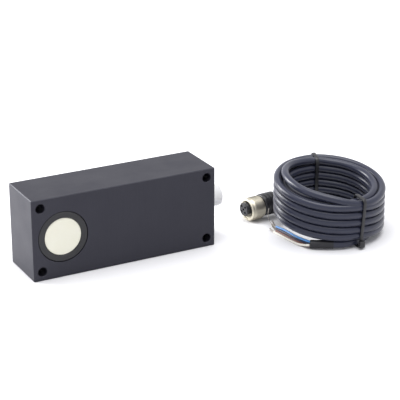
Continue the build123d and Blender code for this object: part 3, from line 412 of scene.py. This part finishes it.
def translucent_polyethylene(name, colour):
    """Low-density polyethylene, moulded: milky, lets light through and shines softly."""
    material, tree, shader = new_material(name)
    place = add_node(tree, "ShaderNodeTexCoord").outputs["Object"]
    cloud = add_node(tree, "ShaderNodeTexNoise", {"Vector": place, "Scale": per_mm(3), "Detail": 2.0})
    rough = add_node(
        tree, "ShaderNodeMapRange", {"Value": cloud.outputs["Fac"], "To Min": 0.34, "To Max": 0.46}
    )
    tree.links.new(rough.outputs["Result"], shader.inputs["Roughness"])
    shader.inputs["Base Color"].default_value = linear(colour)
    shader.inputs["Subsurface Weight"].default_value = 0.5
    shader.inputs["Subsurface Radius"].default_value = (0.002, 0.002, 0.0018)
    shader.inputs["Subsurface Scale"].default_value = 1.0
    shader.inputs["Transmission Weight"].default_value = 0.15
    shader.inputs["IOR"].default_value = 1.51
    return material


def cable_jacket(name, colour):
    """Polyurethane jacket, extruded: satin, with fine lines along the cable and a soft sheen."""
    material, tree, shader = new_material(name)
    place = add_node(tree, "ShaderNodeTexCoord").outputs["Object"]
    grain = add_node(
        tree, "ShaderNodeTexNoise", {"Vector": place, "Scale": per_mm(0.5), "Detail": 4.0, "Roughness": 0.6}
    )
    broad = add_node(tree, "ShaderNodeTexNoise", {"Vector": place, "Scale": per_mm(9), "Detail": 3.0})
    base = linear(colour)
    high = [min(1, v * 1.35) for v in base[:3]] + [1]
    shade = add_node(
        tree, "ShaderNodeMix", {"Factor": broad.outputs["Fac"], "A": base, "B": high}, data_type="RGBA"
    )
    tree.links.new(shade.outputs[2], shader.inputs["Base Color"])
    rough = add_node(
        tree, "ShaderNodeMapRange",
        {"Value": grain.outputs["Fac"], "From Min": 0.3, "From Max": 0.7, "To Min": 0.27, "To Max": 0.36},
    )
    tree.links.new(rough.outputs["Result"], shader.inputs["Roughness"])
    bump = add_node(
        tree, "ShaderNodeBump", {"Strength": 0.3, "Distance": 0.00002, "Height": grain.outputs["Fac"]}
    )
    tree.links.new(bump.outputs["Normal"], shader.inputs["Normal"])
    shader.inputs["Sheen Weight"].default_value = 0.08
    return material


def coil_point(settings, angle, radius, height):
    """A point of the coil from its angle in degrees, radius and height above its sloping lower face."""
    along_y = radius * sin(radians(angle))
    offset = Vector((radius * cos(radians(angle)), along_y, height + along_y * settings.slope))
    return Vector(settings.centre) + offset


def ease(value, start, end):
    """0 before start, 1 after end, and a smooth step between them."""
    t = min(1, max(0, (value - start) / (end - start)))
    return t * t * (3 - 2 * t)


def pinch(angle, tie_angles):
    """1 under a cable tie, fading to 0 a few degrees away."""
    nearest = min(abs((angle - tie + 180) % 360 - 180) for tie in tie_angles)
    return 1 - ease(nearest, 2, 12)


# Angles in degrees: where the run round the coil counts from, where the lead joins, how far past a
# whole number of turns the tail leaves, and between control points
RUN_STARTS_AT = 20
JOINS_AT = 14.0
LEAVES_AFTER = 114
STEP = 15.0
OUTER_ROWS = 6
TIE_ANGLES = (-84.5, 75.5)


def coil_radius_height(settings, run):
    """Radius and height of the cable after it has run this many degrees round the coil, clockwise."""
    row = settings.row
    # Outer column: each turn climbs one row at the front
    height = settings.diameter / 2 + row * ease(run, 35.0, 115.0)
    for turn in range(1, OUTER_ROWS - 1):
        height += row * ease(run, 360.0 * turn + 53.0, 360.0 * turn + 131.0)
    # The sixth turn rides over the top and in to the inner column
    top = 360.0 * (OUTER_ROWS - 1)
    over = ease(run, top + 95, top + 150)
    height += row * 1.05 * over - row * 1.05 * ease(run, top + 205, top + 324)
    radius = settings.outer_radius
    radius += (settings.inner_radius - settings.outer_radius) * ease(run, top + 80, top + 210)
    # Inner column: each turn drops one row at the front left
    for turn in range(1, OUTER_ROWS):
        height -= row * ease(run, top + 360.0 * turn + 131, top + 360.0 * turn + 324)
    # The last turn goes back out underneath and leaves as the tail
    last = top + 360.0 * OUTER_ROWS
    radius += (settings.outer_radius - settings.inner_radius) * ease(run, last + 74, last + 138)
    return radius, height


class SENSOR_OT_stage(bpy.types.Operator):
    """Set the camera, the pale floor and the soft lamps"""

    bl_idname = "sensor.stage"
    bl_label = "Stage"

    def execute(self, context):
        settings = context.scene.sensor_stage
        target = Vector(settings.target)
        level = cos(settings.elevation)
        across, ahead = sin(settings.azimuth) * level, cos(settings.azimuth) * level
        towards = Vector((across, -ahead, sin(settings.elevation)))
        camera = bpy.data.objects.new("camera", bpy.data.cameras.new("camera"))
        context.collection.objects.link(camera)
        camera.data.sensor_width = 36
        camera.data.lens = settings.lens
        camera.location = target + towards * settings.distance
        camera.rotation_euler = (-towards).to_track_quat("-Z", "Y").to_euler()
        context.scene.camera = camera
        context.scene.view_settings.view_transform = "Standard"

        deselect()
        bpy.ops.mesh.primitive_grid_add(
            x_subdivisions=8, y_subdivisions=8, size=14, location=(0, 0, -0.00005)
        )
        floor = context.object
        floor.name = "floor"
        material, tree, shader = new_material("matt white paper")
        shader.inputs["Base Color"].default_value = (0.93, 0.93, 0.95, 1)
        shader.inputs["Roughness"].default_value = 0.9
        shader.inputs["Specular IOR Level"].default_value = 0.1
        dress(floor, material)

        world = bpy.data.worlds.new("white room")
        world.use_nodes = True
        context.scene.world = world
        tree = world.node_tree
        path = add_node(tree, "ShaderNodeLightPath")
        seen = add_node(
            tree, "ShaderNodeMath",
            {0: path.outputs["Is Camera Ray"], 1: path.outputs["Is Glossy Ray"]}, operation="MAXIMUM",
        )
        seen = add_node(
            tree, "ShaderNodeMath", {0: seen.outputs[0], 1: path.outputs["Is Transmission Ray"]},
            operation="MAXIMUM",
        )
        strength = add_node(
            tree, "ShaderNodeMapRange",
            {"Value": seen.outputs[0], "To Min": settings.world_strength, "To Max": 1.0},
        )
        background = tree.nodes["Background"]
        background.inputs["Color"].default_value = (0.975, 0.975, 1.0, 1)
        tree.links.new(strength.outputs["Result"], background.inputs["Strength"])

        for name, place, aim, size, power in (
            ("top lamp", (0.15, -0.1, 1.1), (0.05, -0.02, 0.0), 1.1, settings.top_power),
            ("side lamp", (-0.75, 0.85, 0.35), (-0.03, 0.0, 0.02), 0.8, settings.side_power),
        ):
            lamp = bpy.data.objects.new(name, bpy.data.lights.new(name, "AREA"))
            context.collection.objects.link(lamp)
            lamp.data.shape = "DISK"
            lamp.data.size = size
            lamp.data.energy = power
            lamp.location = place
            lamp.rotation_euler = (Vector(aim) - Vector(place)).to_track_quat("-Z", "Y").to_euler()
        return {"FINISHED"}


LEAD_MM = [
    (122.33, 9.22, 8.5),
    (133.28, 10.21, 8.5),
    (145.0, 10.7, 8.5),
    (155.6, 6.1, 8.7),
    (162.0, -2.6, 9.2),
    (164.9, -12.2, 9.1),
]
TAIL_MM = [
    (113.3, -54.3, 3.5),
    (107.2, -49.4, 2.95),
]


class SENSOR_OT_cable(bpy.types.Operator):
    """Wind the cable from the plug up the coil's outer turns, over the top, down the inner ones and out"""

    bl_idname = "sensor.cable"
    bl_label = "Cable"

    def execute(self, context):
        settings = context.scene.sensor_cable
        points = [Vector(p) * MM for p in LEAD_MM]
        # A control ring of 24 points a turn lies this much outside the turn that it draws
        outside = 1 / cos(pi * STEP / 360)
        middle = (settings.outer_radius + settings.inner_radius) / 2
        turns_end = 360.0 * (2 * OUTER_ROWS - 1) + RUN_STARTS_AT + LEAVES_AFTER
        run = RUN_STARTS_AT - JOINS_AT
        while run <= turns_end + 0.1:
            radius, height = coil_radius_height(settings, run)
            angle = RUN_STARTS_AT - run
            stray = noise.noise(Vector((run / 97, 3.1, 0))) * settings.wander
            lift = noise.noise(Vector((run / 83, 8.7, 4))) * settings.wander * 0.6
            squeeze = pinch(angle, TIE_ANGLES) * 0.0003
            lift += pinch(angle, TIE_ANGLES) * 0.0004
            radius += stray - squeeze * (1 if radius > middle else -1)
            points.append(coil_point(settings, angle, radius * outside, height + lift))
            run += STEP
        points += [Vector(p) * MM for p in TAIL_MM]

        cable = round_line("cable", points, settings.diameter / 2, smoothness=4, roundness=4)
        dress(cable, cable_jacket("polyurethane jacket, extruded", settings.jacket))
        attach(cable, "cordset")
        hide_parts("cable_coil", "cable_lead", "cable_tail")
        return {"FINISHED"}


CORE_RADIUS_MM = 0.7
CORES_MM = {
    "core_blue": [
        (105.3, -43.7, 4.3), (104.2, -37.4, 4.2), (103.9, -30.0, 4.2),
        (103.9, -22.8, 3.6), (103.1, -16.3, 3.0),
    ],
    "core_brown": [
        (105.1, -45.0, 1.6), (103.8, -38.6, 1.6), (102.9, -31.6, 1.6),
        (102.4, -24.8, 1.5), (101.8, -18.4, 1.3),
    ],
    "core_white": [
        (103.9, -45.4, 1.2), (102.8, -38.5, 0.75), (101.8, -31.0, 0.8),
        (101.1, -24.3, 0.75), (100.4, -18.0, 0.75),
    ],
    # The black core runs just under the blue one, as painted shade along the blue core's underside
    "core_black": [
        (104.9, -43.9, 3.0), (103.6, -37.6, 2.9), (103.2, -30.2, 2.85),
        (103.0, -23.0, 2.5), (102.3, -17.0, 2.2),
    ],
    "core_grey": [
        (107.9, -45.2, 0.8), (106.9, -39.0, 0.75), (106.1, -32.2, 0.8),
        (105.7, -25.4, 0.75), (105.3, -19.2, 0.8),
    ],
}
CORE_STARTS_MM = {
    "core_blue": (107.2, -49.4, 4.4),
    "core_brown": (107.2, -49.4, 1.5),
    "core_white": (106.16, -50.42, 2.75),
    "core_black": (107.2, -49.4, 2.95),
    "core_grey": (108.24, -48.38, 2.95),
}
CORE_COLOURS = {
    "core_blue": "5a9be0",
    "core_brown": "7a5145",
    "core_white": "eeeae0",
    "core_black": "1f2740",
    # The black core is tinted navy: its own black plus painted shade
    "core_grey": "8a8a90",
}


class SENSOR_OT_cores(bpy.types.Operator):
    """Lay the five stripped cores beside the coil"""

    bl_idname = "sensor.cores"
    bl_label = "Cores"

    def execute(self, context):
        for name, route in CORES_MM.items():
            points = [Vector(point) * MM for point in [CORE_STARTS_MM[name]] + route]
            core = round_line(name.replace("_", "-"), points, CORE_RADIUS_MM * MM)
            colour = CORE_COLOURS[name]
            dress(core, speckled(f"{name[5:]} PVC insulation, extruded", colour, 0.08, 0.4, 0.38, 0.01))
            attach(core, "cordset")
            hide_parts(name)
        return {"FINISHED"}


PLUG_FACE_MM = (92.45, 6.5, 8.5)
PLUG_TURN = 5.2
NUT_DROP_MM = 0.85


def on_plug(drop_mm=0.0):
    """Where the plug lies: its axis turned a little from X, starting at its mating face."""
    place = Vector(PLUG_FACE_MM) - Vector((0, 0, drop_mm))
    return Matrix.Translation(place * MM) @ Matrix.Rotation(radians(PLUG_TURN), 4, "Z")


def in_metres(profile_mm):
    """A profile given in millimetres, in metres."""
    return [(x * MM, radius * MM) for x, radius in profile_mm]


def thread(start, end, crest, root, pitch=1.0):
    """V-shaped turns of a thread between two distances, as (x, radius) steps in millimetres."""
    turns = round((end - start) / pitch)
    steps = []
    for turn in range(turns):
        steps.append((start + pitch * turn, root))
        steps.append((start + pitch * (turn + 0.5), crest))
    return steps + [(start + pitch * turns, root)]


def raise_alternate(piece, sides, first_x, pitch, rings, factor, least_radius):
    """Lift every second point of a band of rings, like a chessboard, to make a diamond knurl."""
    bpy.context.view_layer.objects.active = piece
    bpy.ops.object.mode_set(mode="EDIT")
    bpy.ops.mesh.select_all(action="DESELECT")
    bpy.ops.object.mode_set(mode="OBJECT")
    for vertex in piece.data.vertices:
        x, y, z = vertex.co
        ring = (x - first_x) / pitch
        on_ring = sqrt(y * y + z * z) > least_radius and abs(ring - round(ring)) < 0.05
        around = round(atan2(z, y) / (2 * pi) * sides)
        vertex.select = bool(on_ring and 0.5 < ring < rings - 0.5 and (round(ring) + around) % 2)
    bpy.ops.object.mode_set(mode="EDIT")
    bpy.ops.transform.resize(value=(1, factor, factor), center_override=(0, 0, 0), orient_type="GLOBAL")
    bpy.ops.mesh.select_all(action="DESELECT")
    bpy.ops.object.mode_set(mode="OBJECT")


class SENSOR_OT_nut(bpy.types.Operator):
    """Turn the coupling nut, knurl its rim and cut its thread"""

    bl_idname = "sensor.nut"
    bl_label = "Coupling Nut"

    def execute(self, context):
        settings = context.scene.sensor_plug
        sides = 2 * settings.knurl_count
        knurl_start, pitch, rings = 4.6, 0.62, 12
        profile = [(2.65, 5.85), (2.65, 6.8), (2.72, 7.0), (2.95, 7.18), (4.0, 7.2), (4.1, 6.95), (4.3, 6.95)]
        profile += [(knurl_start + pitch * ring, 7.1) for ring in range(rings + 1)]
        profile += [(12.2, 7.1), (12.45, 6.95), (12.6, 6.7), (12.6, 5.25), (12.5, 5.15), (10.7, 5.15)]
        profile += [(10.7, 6.45), (7.5, 6.45), (7.5, 5.85)]
        profile += list(reversed(thread(3.2, 7.2, 5.45, 5.85))) + [(2.65, 5.85)]
        nut = turned("nut", in_metres(profile), sides=sides, closed=True)
        raise_alternate(nut, sides, knurl_start * MM, pitch * MM, rings, 1.052, 6.9 * MM)
        settle(nut, on_plug(NUT_DROP_MM))
        dress(nut, knurled_nickel("nickel-plated brass, knurled", settings.nickel))
        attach(nut, "nut")
        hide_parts("coupling_nut")
        return {"FINISHED"}


class SENSOR_OT_plug(bpy.types.Operator):
    """Mould the plug's ribbed body and its slotted strain relief"""

    bl_idname = "sensor.plug"
    bl_label = "Plug Body"

    def execute(self, context):
        profile = [(10.6, 4.2), (12.9, 4.2), (12.9, 6.5), (13.0, 6.8), (13.3, 7.05), (13.8, 7.18)]
        for rib in range(3):
            start = 14.5 + 2.6 * rib
            profile += [(start - 0.1, 7.18), (start, 7.08), (start + 0.08, 6.72), (start + 0.82, 6.72)]
            profile += [(start + 0.9, 7.08), (start + 1.0, 7.18)]
        profile += [(21.6, 7.2), (22.5, 7.15), (23.6, 6.8), (25.5, 6.1)]
        profile += [(27.6, 5.3), (29.7, 4.5), (30.0, 4.2)]
        body = turned("plug-body", in_metres(profile), sides=72)
        settle(body, on_plug())
        elastomer = speckled("black TPU, moulded", "222226", 0.15, 0.5, 0.42, 0.015)
        dress(body, elastomer)
        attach(body, "cordset")
        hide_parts("plug_body")

        profile = [(30.0, 2.3), (30.0, 4.0), (31.3, 3.95)]
        for groove in range(3):
            start = 31.5 + 2.6 * groove
            wide = 3.9 - 0.22 * groove
            profile += [(start, wide), (start + 0.12, 3.25), (start + 0.98, 3.25), (start + 1.1, wide - 0.08)]
        profile += [(39.6, 3.3), (39.9, 3.15), (40.0, 2.9), (40.0, 2.3), (30.0, 2.3)]
        relief = turned("strain-relief", in_metres(profile), sides=48, closed=True)
        settle(relief, on_plug())
        dress(relief, elastomer)
        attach(relief, "cordset")
        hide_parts("strain_relief")
        return {"FINISHED"}


class SENSOR_OT_receptacle(bpy.types.Operator):
    """Turn the receptacle's shell: its barrel, hexagon and thread"""

    bl_idname = "sensor.receptacle"
    bl_label = "Receptacle"

    def execute(self, context):
        profile = [(43.0, 4.5), (43.0, 6.9), (58.9, 6.9), (61.0, 6.9), (61.0, 5.3), (61.9, 5.3)]
        profile += thread(62.0, 69.0, 6.0, 5.45)
        profile += [(69.4, 5.5), (69.5, 5.3), (69.5, 4.6), (69.4, 4.5), (43.0, 4.5)]
        barrel = turned("barrel", in_metres(profile), sides=64, closed=True)
        corner = 8.5 / cos(pi / 6)
        flats = [(59.0, 6.6), (59.0, corner - 0.2), (59.2, corner), (60.7, corner)]
        flats += [(61.0, corner - 0.4), (61.0, 6.6), (59.0, 6.6)]
        hexagon = turned("hexagon", in_metres(flats), sides=6, closed=True)
        shell = join("receptacle", [barrel, hexagon])
        settle(shell, Matrix.Translation((0, 0, 0.025)))
        dress(shell, bpy.data.materials["nickel-plated brass, turned"])
        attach(shell, "sensor")
        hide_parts("connector_shell")
        return {"FINISHED"}


# Angle on the coil, height over it, height of the head, how far the foot trails; degrees and millimetres
TIES = {
    "cable_tie_front": (-84.5, 30.2, 1.0, 4.0),
    "cable_tie_rear": (75.5, 28.8, 9.0, 0.0),
}
TIE_INNER_MM = 24.95
TIE_OUTER_MM = 34.75
TIE_CORNER_MM = 2.2
TIE_HALF_WIDTH_MM = 1.1
TIE_HEAD_MM = (2.6, 3.6, 4.2)
TIE_HEAD_RADIUS_MM = 36.1


class SENSOR_OT_ties(bpy.types.Operator):
    """Pull two nylon ties round the coil's wall"""

    bl_idname = "sensor.ties"
    bl_label = "Cable Ties"

    def execute(self, context):
        cable = context.scene.sensor_cable
        nylon = speckled("black nylon, moulded and drawn tight", "1d1d21", 0.15, 0.5, 0.36, 0.01)
        for node, (angle, top_mm, head_mm, trail) in TIES.items():
            low, high = 0.25, top_mm + 0.2
            near, far = TIE_INNER_MM + TIE_CORNER_MM, TIE_OUTER_MM - TIE_CORNER_MM
            bottom, top = low + TIE_CORNER_MM, high - TIE_CORNER_MM
            points = []
            # Four rounded corners, each a quarter turn from the start that it is listed with
            corners = ((180, near, bottom), (270, far, bottom), (0, far, top), (90, near, top))
            for start, across, up in corners:
                for step in range(4):
                    turn = radians(start + 30 * step)
                    height = up + TIE_CORNER_MM * sin(turn)
                    foot = angle - trail * (1 - height / high)
                    reach = across + TIE_CORNER_MM * cos(turn)
                    points.append(coil_point(cable, foot, reach * MM, height * MM))
            deselect()
            bpy.ops.mesh.primitive_circle_add(vertices=len(points), radius=1)
            strap = context.object
            strap.name = node.replace("_", "-")
            for vertex, point in zip(strap.data.vertices, points):
                vertex.co = point
            side = Vector((sin(radians(angle)), -cos(radians(angle)), 0)) * TIE_HALF_WIDTH_MM * MM
            bpy.ops.object.mode_set(mode="EDIT")
            bpy.ops.mesh.select_all(action="SELECT")
            bpy.ops.transform.translate(value=-side)
            bpy.ops.mesh.extrude_edges_move(TRANSFORM_OT_translate={"value": side * 2})
            bpy.ops.mesh.select_all(action="SELECT")
            bpy.ops.mesh.normals_make_consistent(inside=False)
            bpy.ops.object.mode_set(mode="OBJECT")
            solid = strap.modifiers.new("thickness", "SOLIDIFY")
            solid.thickness = 0.0008
            solid.offset = 0.0
            bevel = strap.modifiers.new("edges", "BEVEL")
            bevel.width = 0.00015
            bevel.segments = 2
            bevel.angle_limit = radians(50)
            bpy.ops.object.modifier_apply(modifier="thickness")
            bpy.ops.object.modifier_apply(modifier="edges")

            place = coil_point(cable, angle - trail, TIE_HEAD_RADIUS_MM * MM, (head_mm + 2.2) * MM)
            deselect()
            bpy.ops.mesh.primitive_cube_add(size=1)
            head = context.object
            head.scale = Vector(TIE_HEAD_MM) * MM
            head.rotation_euler = (0, 0, radians(angle - trail))
            head.location = place
            bpy.ops.object.transform_apply(location=True, rotation=True, scale=True)
            bevel = head.modifiers.new("edges", "BEVEL")
            bevel.width = 0.0006
            bevel.segments = 3
            bpy.ops.object.modifier_apply(modifier="edges")
            tie = join(node.replace("_", "-"), [strap, head])
            bpy.ops.object.shade_smooth_by_angle(angle=radians(35))
            settle(tie)
            dress(tie, nylon)
            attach(tie, "cordset")
            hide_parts(node)
        return {"FINISHED"}


SLEEVE_WALL_MM = 0.22


class SENSOR_OT_sleeve(bpy.types.Operator):
    """Shrink a sleeve over the cable's stripped end"""

    bl_idname = "sensor.sleeve"
    bl_label = "End Sleeve"

    def execute(self, context):
        settings = context.scene.sensor_cable
        line = centre_line(bpy.data.objects["cable"])
        last = [line[-1]]
        for point in reversed(line[:-1]):
            if (point - last[-1]).length > 0.0012:
                last.append(point)
            if sum((b - a).length for a, b in zip(last, last[1:])) > settings.sleeve:
                break
        mesh = along(last, settings.diameter / 2 + SLEEVE_WALL_MM * MM)
        sleeve = bpy.data.objects.new("end-sleeve", mesh)
        context.collection.objects.link(sleeve)
        settle(sleeve)
        bpy.ops.object.shade_smooth_by_angle(angle=radians(40))
        dress(sleeve, speckled("polyolefin sleeve, shrunk on", "15161c", 0.15, 0.5, 0.5, 0.01))
        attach(sleeve, "cordset")
        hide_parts("end_sleeve")
        return {"FINISHED"}


# How far each core's bare strands curl up, in the order of CORES_MM, and the strand that has sprung loose
TIP_RISE_MM = (3.0, 2.2, 0.6, 1.6, 1.0)
STRAND_RADIUS_MM = 0.13
STRAY_RADIUS_MM = 0.2
STRAY_FOOT_MM = (103.0, -15.0, 3.0)
STRAY_REACH_MM = 8.0
STRAY_RISE_MM = 9.0
STRAY_BOW_MM = 1.2


def stray_strand():
    """One strand that has sprung loose: a quarter of an oval standing over its foot, bowed to one side."""
    foot = Vector(STRAY_FOOT_MM)
    points = []
    for step in range(9):
        turn = pi / 2 * step / 8
        bow = -STRAY_BOW_MM * sin(2 * turn)
        reach, rise = STRAY_REACH_MM * sin(turn), STRAY_RISE_MM * (1 - cos(turn))
        points.append((foot + Vector((bow, reach, rise))) * MM)
    return points


class SENSOR_OT_tips(bpy.types.Operator):
    """Bare the ends of the cores: a bundle of fine strands on each, and one stray strand"""

    bl_idname = "sensor.tips"
    bl_label = "Bare Tips"

    def execute(self, context):
        strands = []
        for number, route in enumerate(CORES_MM.values()):
            end = Vector(route[-1])
            heading = (end - Vector(route[-2])).normalized()
            side = heading.cross(Vector((0, 0, 1))).normalized()
            up = side.cross(heading)
            for strand in range(7):
                points = []
                for step in range(8):
                    turn = radians(60 * strand + 35 * step + 50 * number)
                    fray = noise.noise((strand * 1.7, number * 2.3, 2.0))
                    spread = 0.0 if strand == 6 else 0.26 + 0.035 * step * (1 + fray)
                    across = side * cos(turn) * spread + up * sin(turn) * spread
                    curl = Vector((0, 0, TIP_RISE_MM[number] * (step / 7) ** 2))
                    points.append((end + heading * (0.65 * step - 0.3) + curl + across) * MM)
                strands.append(along(points, STRAND_RADIUS_MM * MM))
        strands.append(along(stray_strand(), STRAY_RADIUS_MM * MM))
        pieces = []
        for mesh in strands:
            piece = bpy.data.objects.new("strand", mesh)
            context.collection.objects.link(piece)
            pieces.append(piece)
        tips = join("strands", pieces)
        settle(tips)
        dress(tips, speckled("tinned copper strands, drawn", "a5a09a", 0.2, 0.15, 0.32, 0.02, metallic=1.0))
        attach(tips, "cordset")
        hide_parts("core_tips")
        return {"FINISHED"}


class SENSOR_OT_finishes(bpy.types.Operator):
    """Give every CAD node the material of the real piece"""

    bl_idname = "sensor.finishes"
    bl_label = "Finishes"

    def execute(self, context):
        housing = context.scene.sensor_housing
        plug = context.scene.sensor_plug
        anodised = anodised_aluminium(
            "aluminium, milled and black anodised", housing.anodise, housing.grain_mm
        )
        rubber = speckled("nitrile rubber, moulded", "1b1b1d", 0.2, 0.3, 0.65, 0.01)
        black_nylon = speckled("black nylon, moulded", "222226", 0.15, 0.5, 0.42, 0.01)
        steel = speckled("stainless steel, turned", "b8b6b2", 0.05, 0.2, 0.28, 0.004, metallic=1.0)
        nickel = speckled("nickel-plated brass, turned", plug.nickel, 0.06, 0.3, 0.27, 0.006, metallic=1.0)
        gold = speckled("gold-plated brass, turned", "d8b25a", 0.05, 0.2, 0.25, 0.004, metallic=1.0)
        mould = speckled("epoxy mould compound", "1a1a1c", 0.15, 0.2, 0.5, 0.01)
        finishes = {
            "housing": anodised,
            "rear_cover": anodised,
            "cover_gasket": rubber,
            "cover_screws": steel,
            "transducer_cup": speckled("black ABS, moulded", "18181c", 0.15, 0.5, 0.45, 0.01),
            "matching_layer": glass_bead_epoxy("glass-bead epoxy, ground flat", housing.face),
            "piezo_disc": speckled("piezo ceramic, silvered", "c9c4b0", 0.06, 0.3, 0.4, 0.01, metallic=0.4),
            "backing_foam": speckled("polyurethane foam, cast", "cfcbbd", 0.12, 0.8, 0.85, 0.08),
            "transducer_o_ring": rubber,
            "retaining_ring": speckled("aluminium, turned", "b9b9bc", 0.06, 0.2, 0.35, 0.006, metallic=1.0),
            "transducer_leads": speckled("red PVC insulation", "8e1f1c", 0.08, 0.4, 0.4, 0.01),
            "circuit_board": speckled("glass epoxy board with green resist", "1d5a32", 0.15, 0.6, 0.35, 0.01),
            "board_spacers": speckled("brass, turned", "b9974f", 0.06, 0.2, 0.3, 0.006, metallic=1.0),
            "board_screws": steel,
            "pulse_transformer": speckled("ferrite, pressed", "3a3634", 0.2, 0.3, 0.55, 0.02),
            "storage_capacitors": speckled("aluminium can in a dark sleeve", "23243a", 0.1, 0.4, 0.35, 0.01),
            "amplifier_chips": mould,
            "microcontroller": mould,
            "voltage_regulator": mould,
            "lead_header": speckled("ivory nylon, moulded", "ddd8c4", 0.06, 0.4, 0.45, 0.01),
            "connector_shell": nickel,
            "connector_insert": black_nylon,
            "connector_pins": gold,
            "connector_o_ring": rubber,
            "connector_leads": speckled("blue PVC insulation", "2f5fa8", 0.08, 0.4, 0.4, 0.01),
            "dust_cap": translucent_polyethylene("polyethylene, moulded", plug.cap),
            "plug_insert": black_nylon,
            "plug_contacts": gold,
            "plug_o_ring": rubber,
            "coupling_nut": nickel,
            "plug_body": speckled("black TPU, moulded", "222226", 0.15, 0.5, 0.5, 0.015),
            "strain_relief": speckled("black TPU, moulded", "222226", 0.15, 0.5, 0.55, 0.015),
            "end_sleeve": speckled("heat-shrink sleeve", "1d1d20", 0.15, 0.5, 0.5, 0.01),
            "core_tips": speckled("tinned copper strands", "c8c2b4", 0.12, 0.15, 0.3, 0.02, metallic=1.0),
            "cable_tie_front": black_nylon,
            "cable_tie_rear": black_nylon,
        }
        for name, material in finishes.items():
            dress(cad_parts[name], material)
        return {"FINISHED"}


class SENSOR_PT_panel(bpy.types.Panel):
    """Lists the pieces in the order that they are made"""

    bl_idname = "SENSOR_PT_panel"
    bl_label = "Ultrasonic Sensor"
    bl_space_type = "VIEW_3D"
    bl_region_type = "UI"
    bl_category = "Sensor"

    def draw(self, context):
        for operator in OPERATORS:
            self.layout.operator(operator.bl_idname)


OPERATORS = (
    SENSOR_OT_stage,
    SENSOR_OT_finishes,
    SENSOR_OT_cable,
    SENSOR_OT_cores,
    SENSOR_OT_nut,
    SENSOR_OT_plug,
    SENSOR_OT_receptacle,
    SENSOR_OT_ties,
    SENSOR_OT_sleeve,
    SENSOR_OT_tips,
)
SETTINGS = {
    "sensor_stage": StageSettings,
    "sensor_cable": CableSettings,
    "sensor_housing": HousingSettings,
    "sensor_plug": PlugSettings,
}


def register():
    """Register the settings, operators and panel."""
    for name, group in SETTINGS.items():
        bpy.utils.register_class(group)
        setattr(bpy.types.Scene, name, bpy.props.PointerProperty(type=group))
    for operator in OPERATORS:
        bpy.utils.register_class(operator)
    bpy.utils.register_class(SENSOR_PT_panel)


def unregister():
    """Take away what register added."""
    bpy.utils.unregister_class(SENSOR_PT_panel)
    for operator in reversed(OPERATORS):
        bpy.utils.unregister_class(operator)
    for name, group in SETTINGS.items():
        delattr(bpy.types.Scene, name)
        bpy.utils.unregister_class(group)


def main():
    """Make every piece in order."""
    register()
    bpy.ops.sensor.stage()
    bpy.ops.sensor.finishes()
    bpy.ops.sensor.cable()
    bpy.ops.sensor.cores()
    bpy.ops.sensor.nut()
    bpy.ops.sensor.plug()
    bpy.ops.sensor.receptacle()
    bpy.ops.sensor.ties()
    bpy.ops.sensor.sleeve()
    bpy.ops.sensor.tips()


if __name__ == "__main__":
    main()
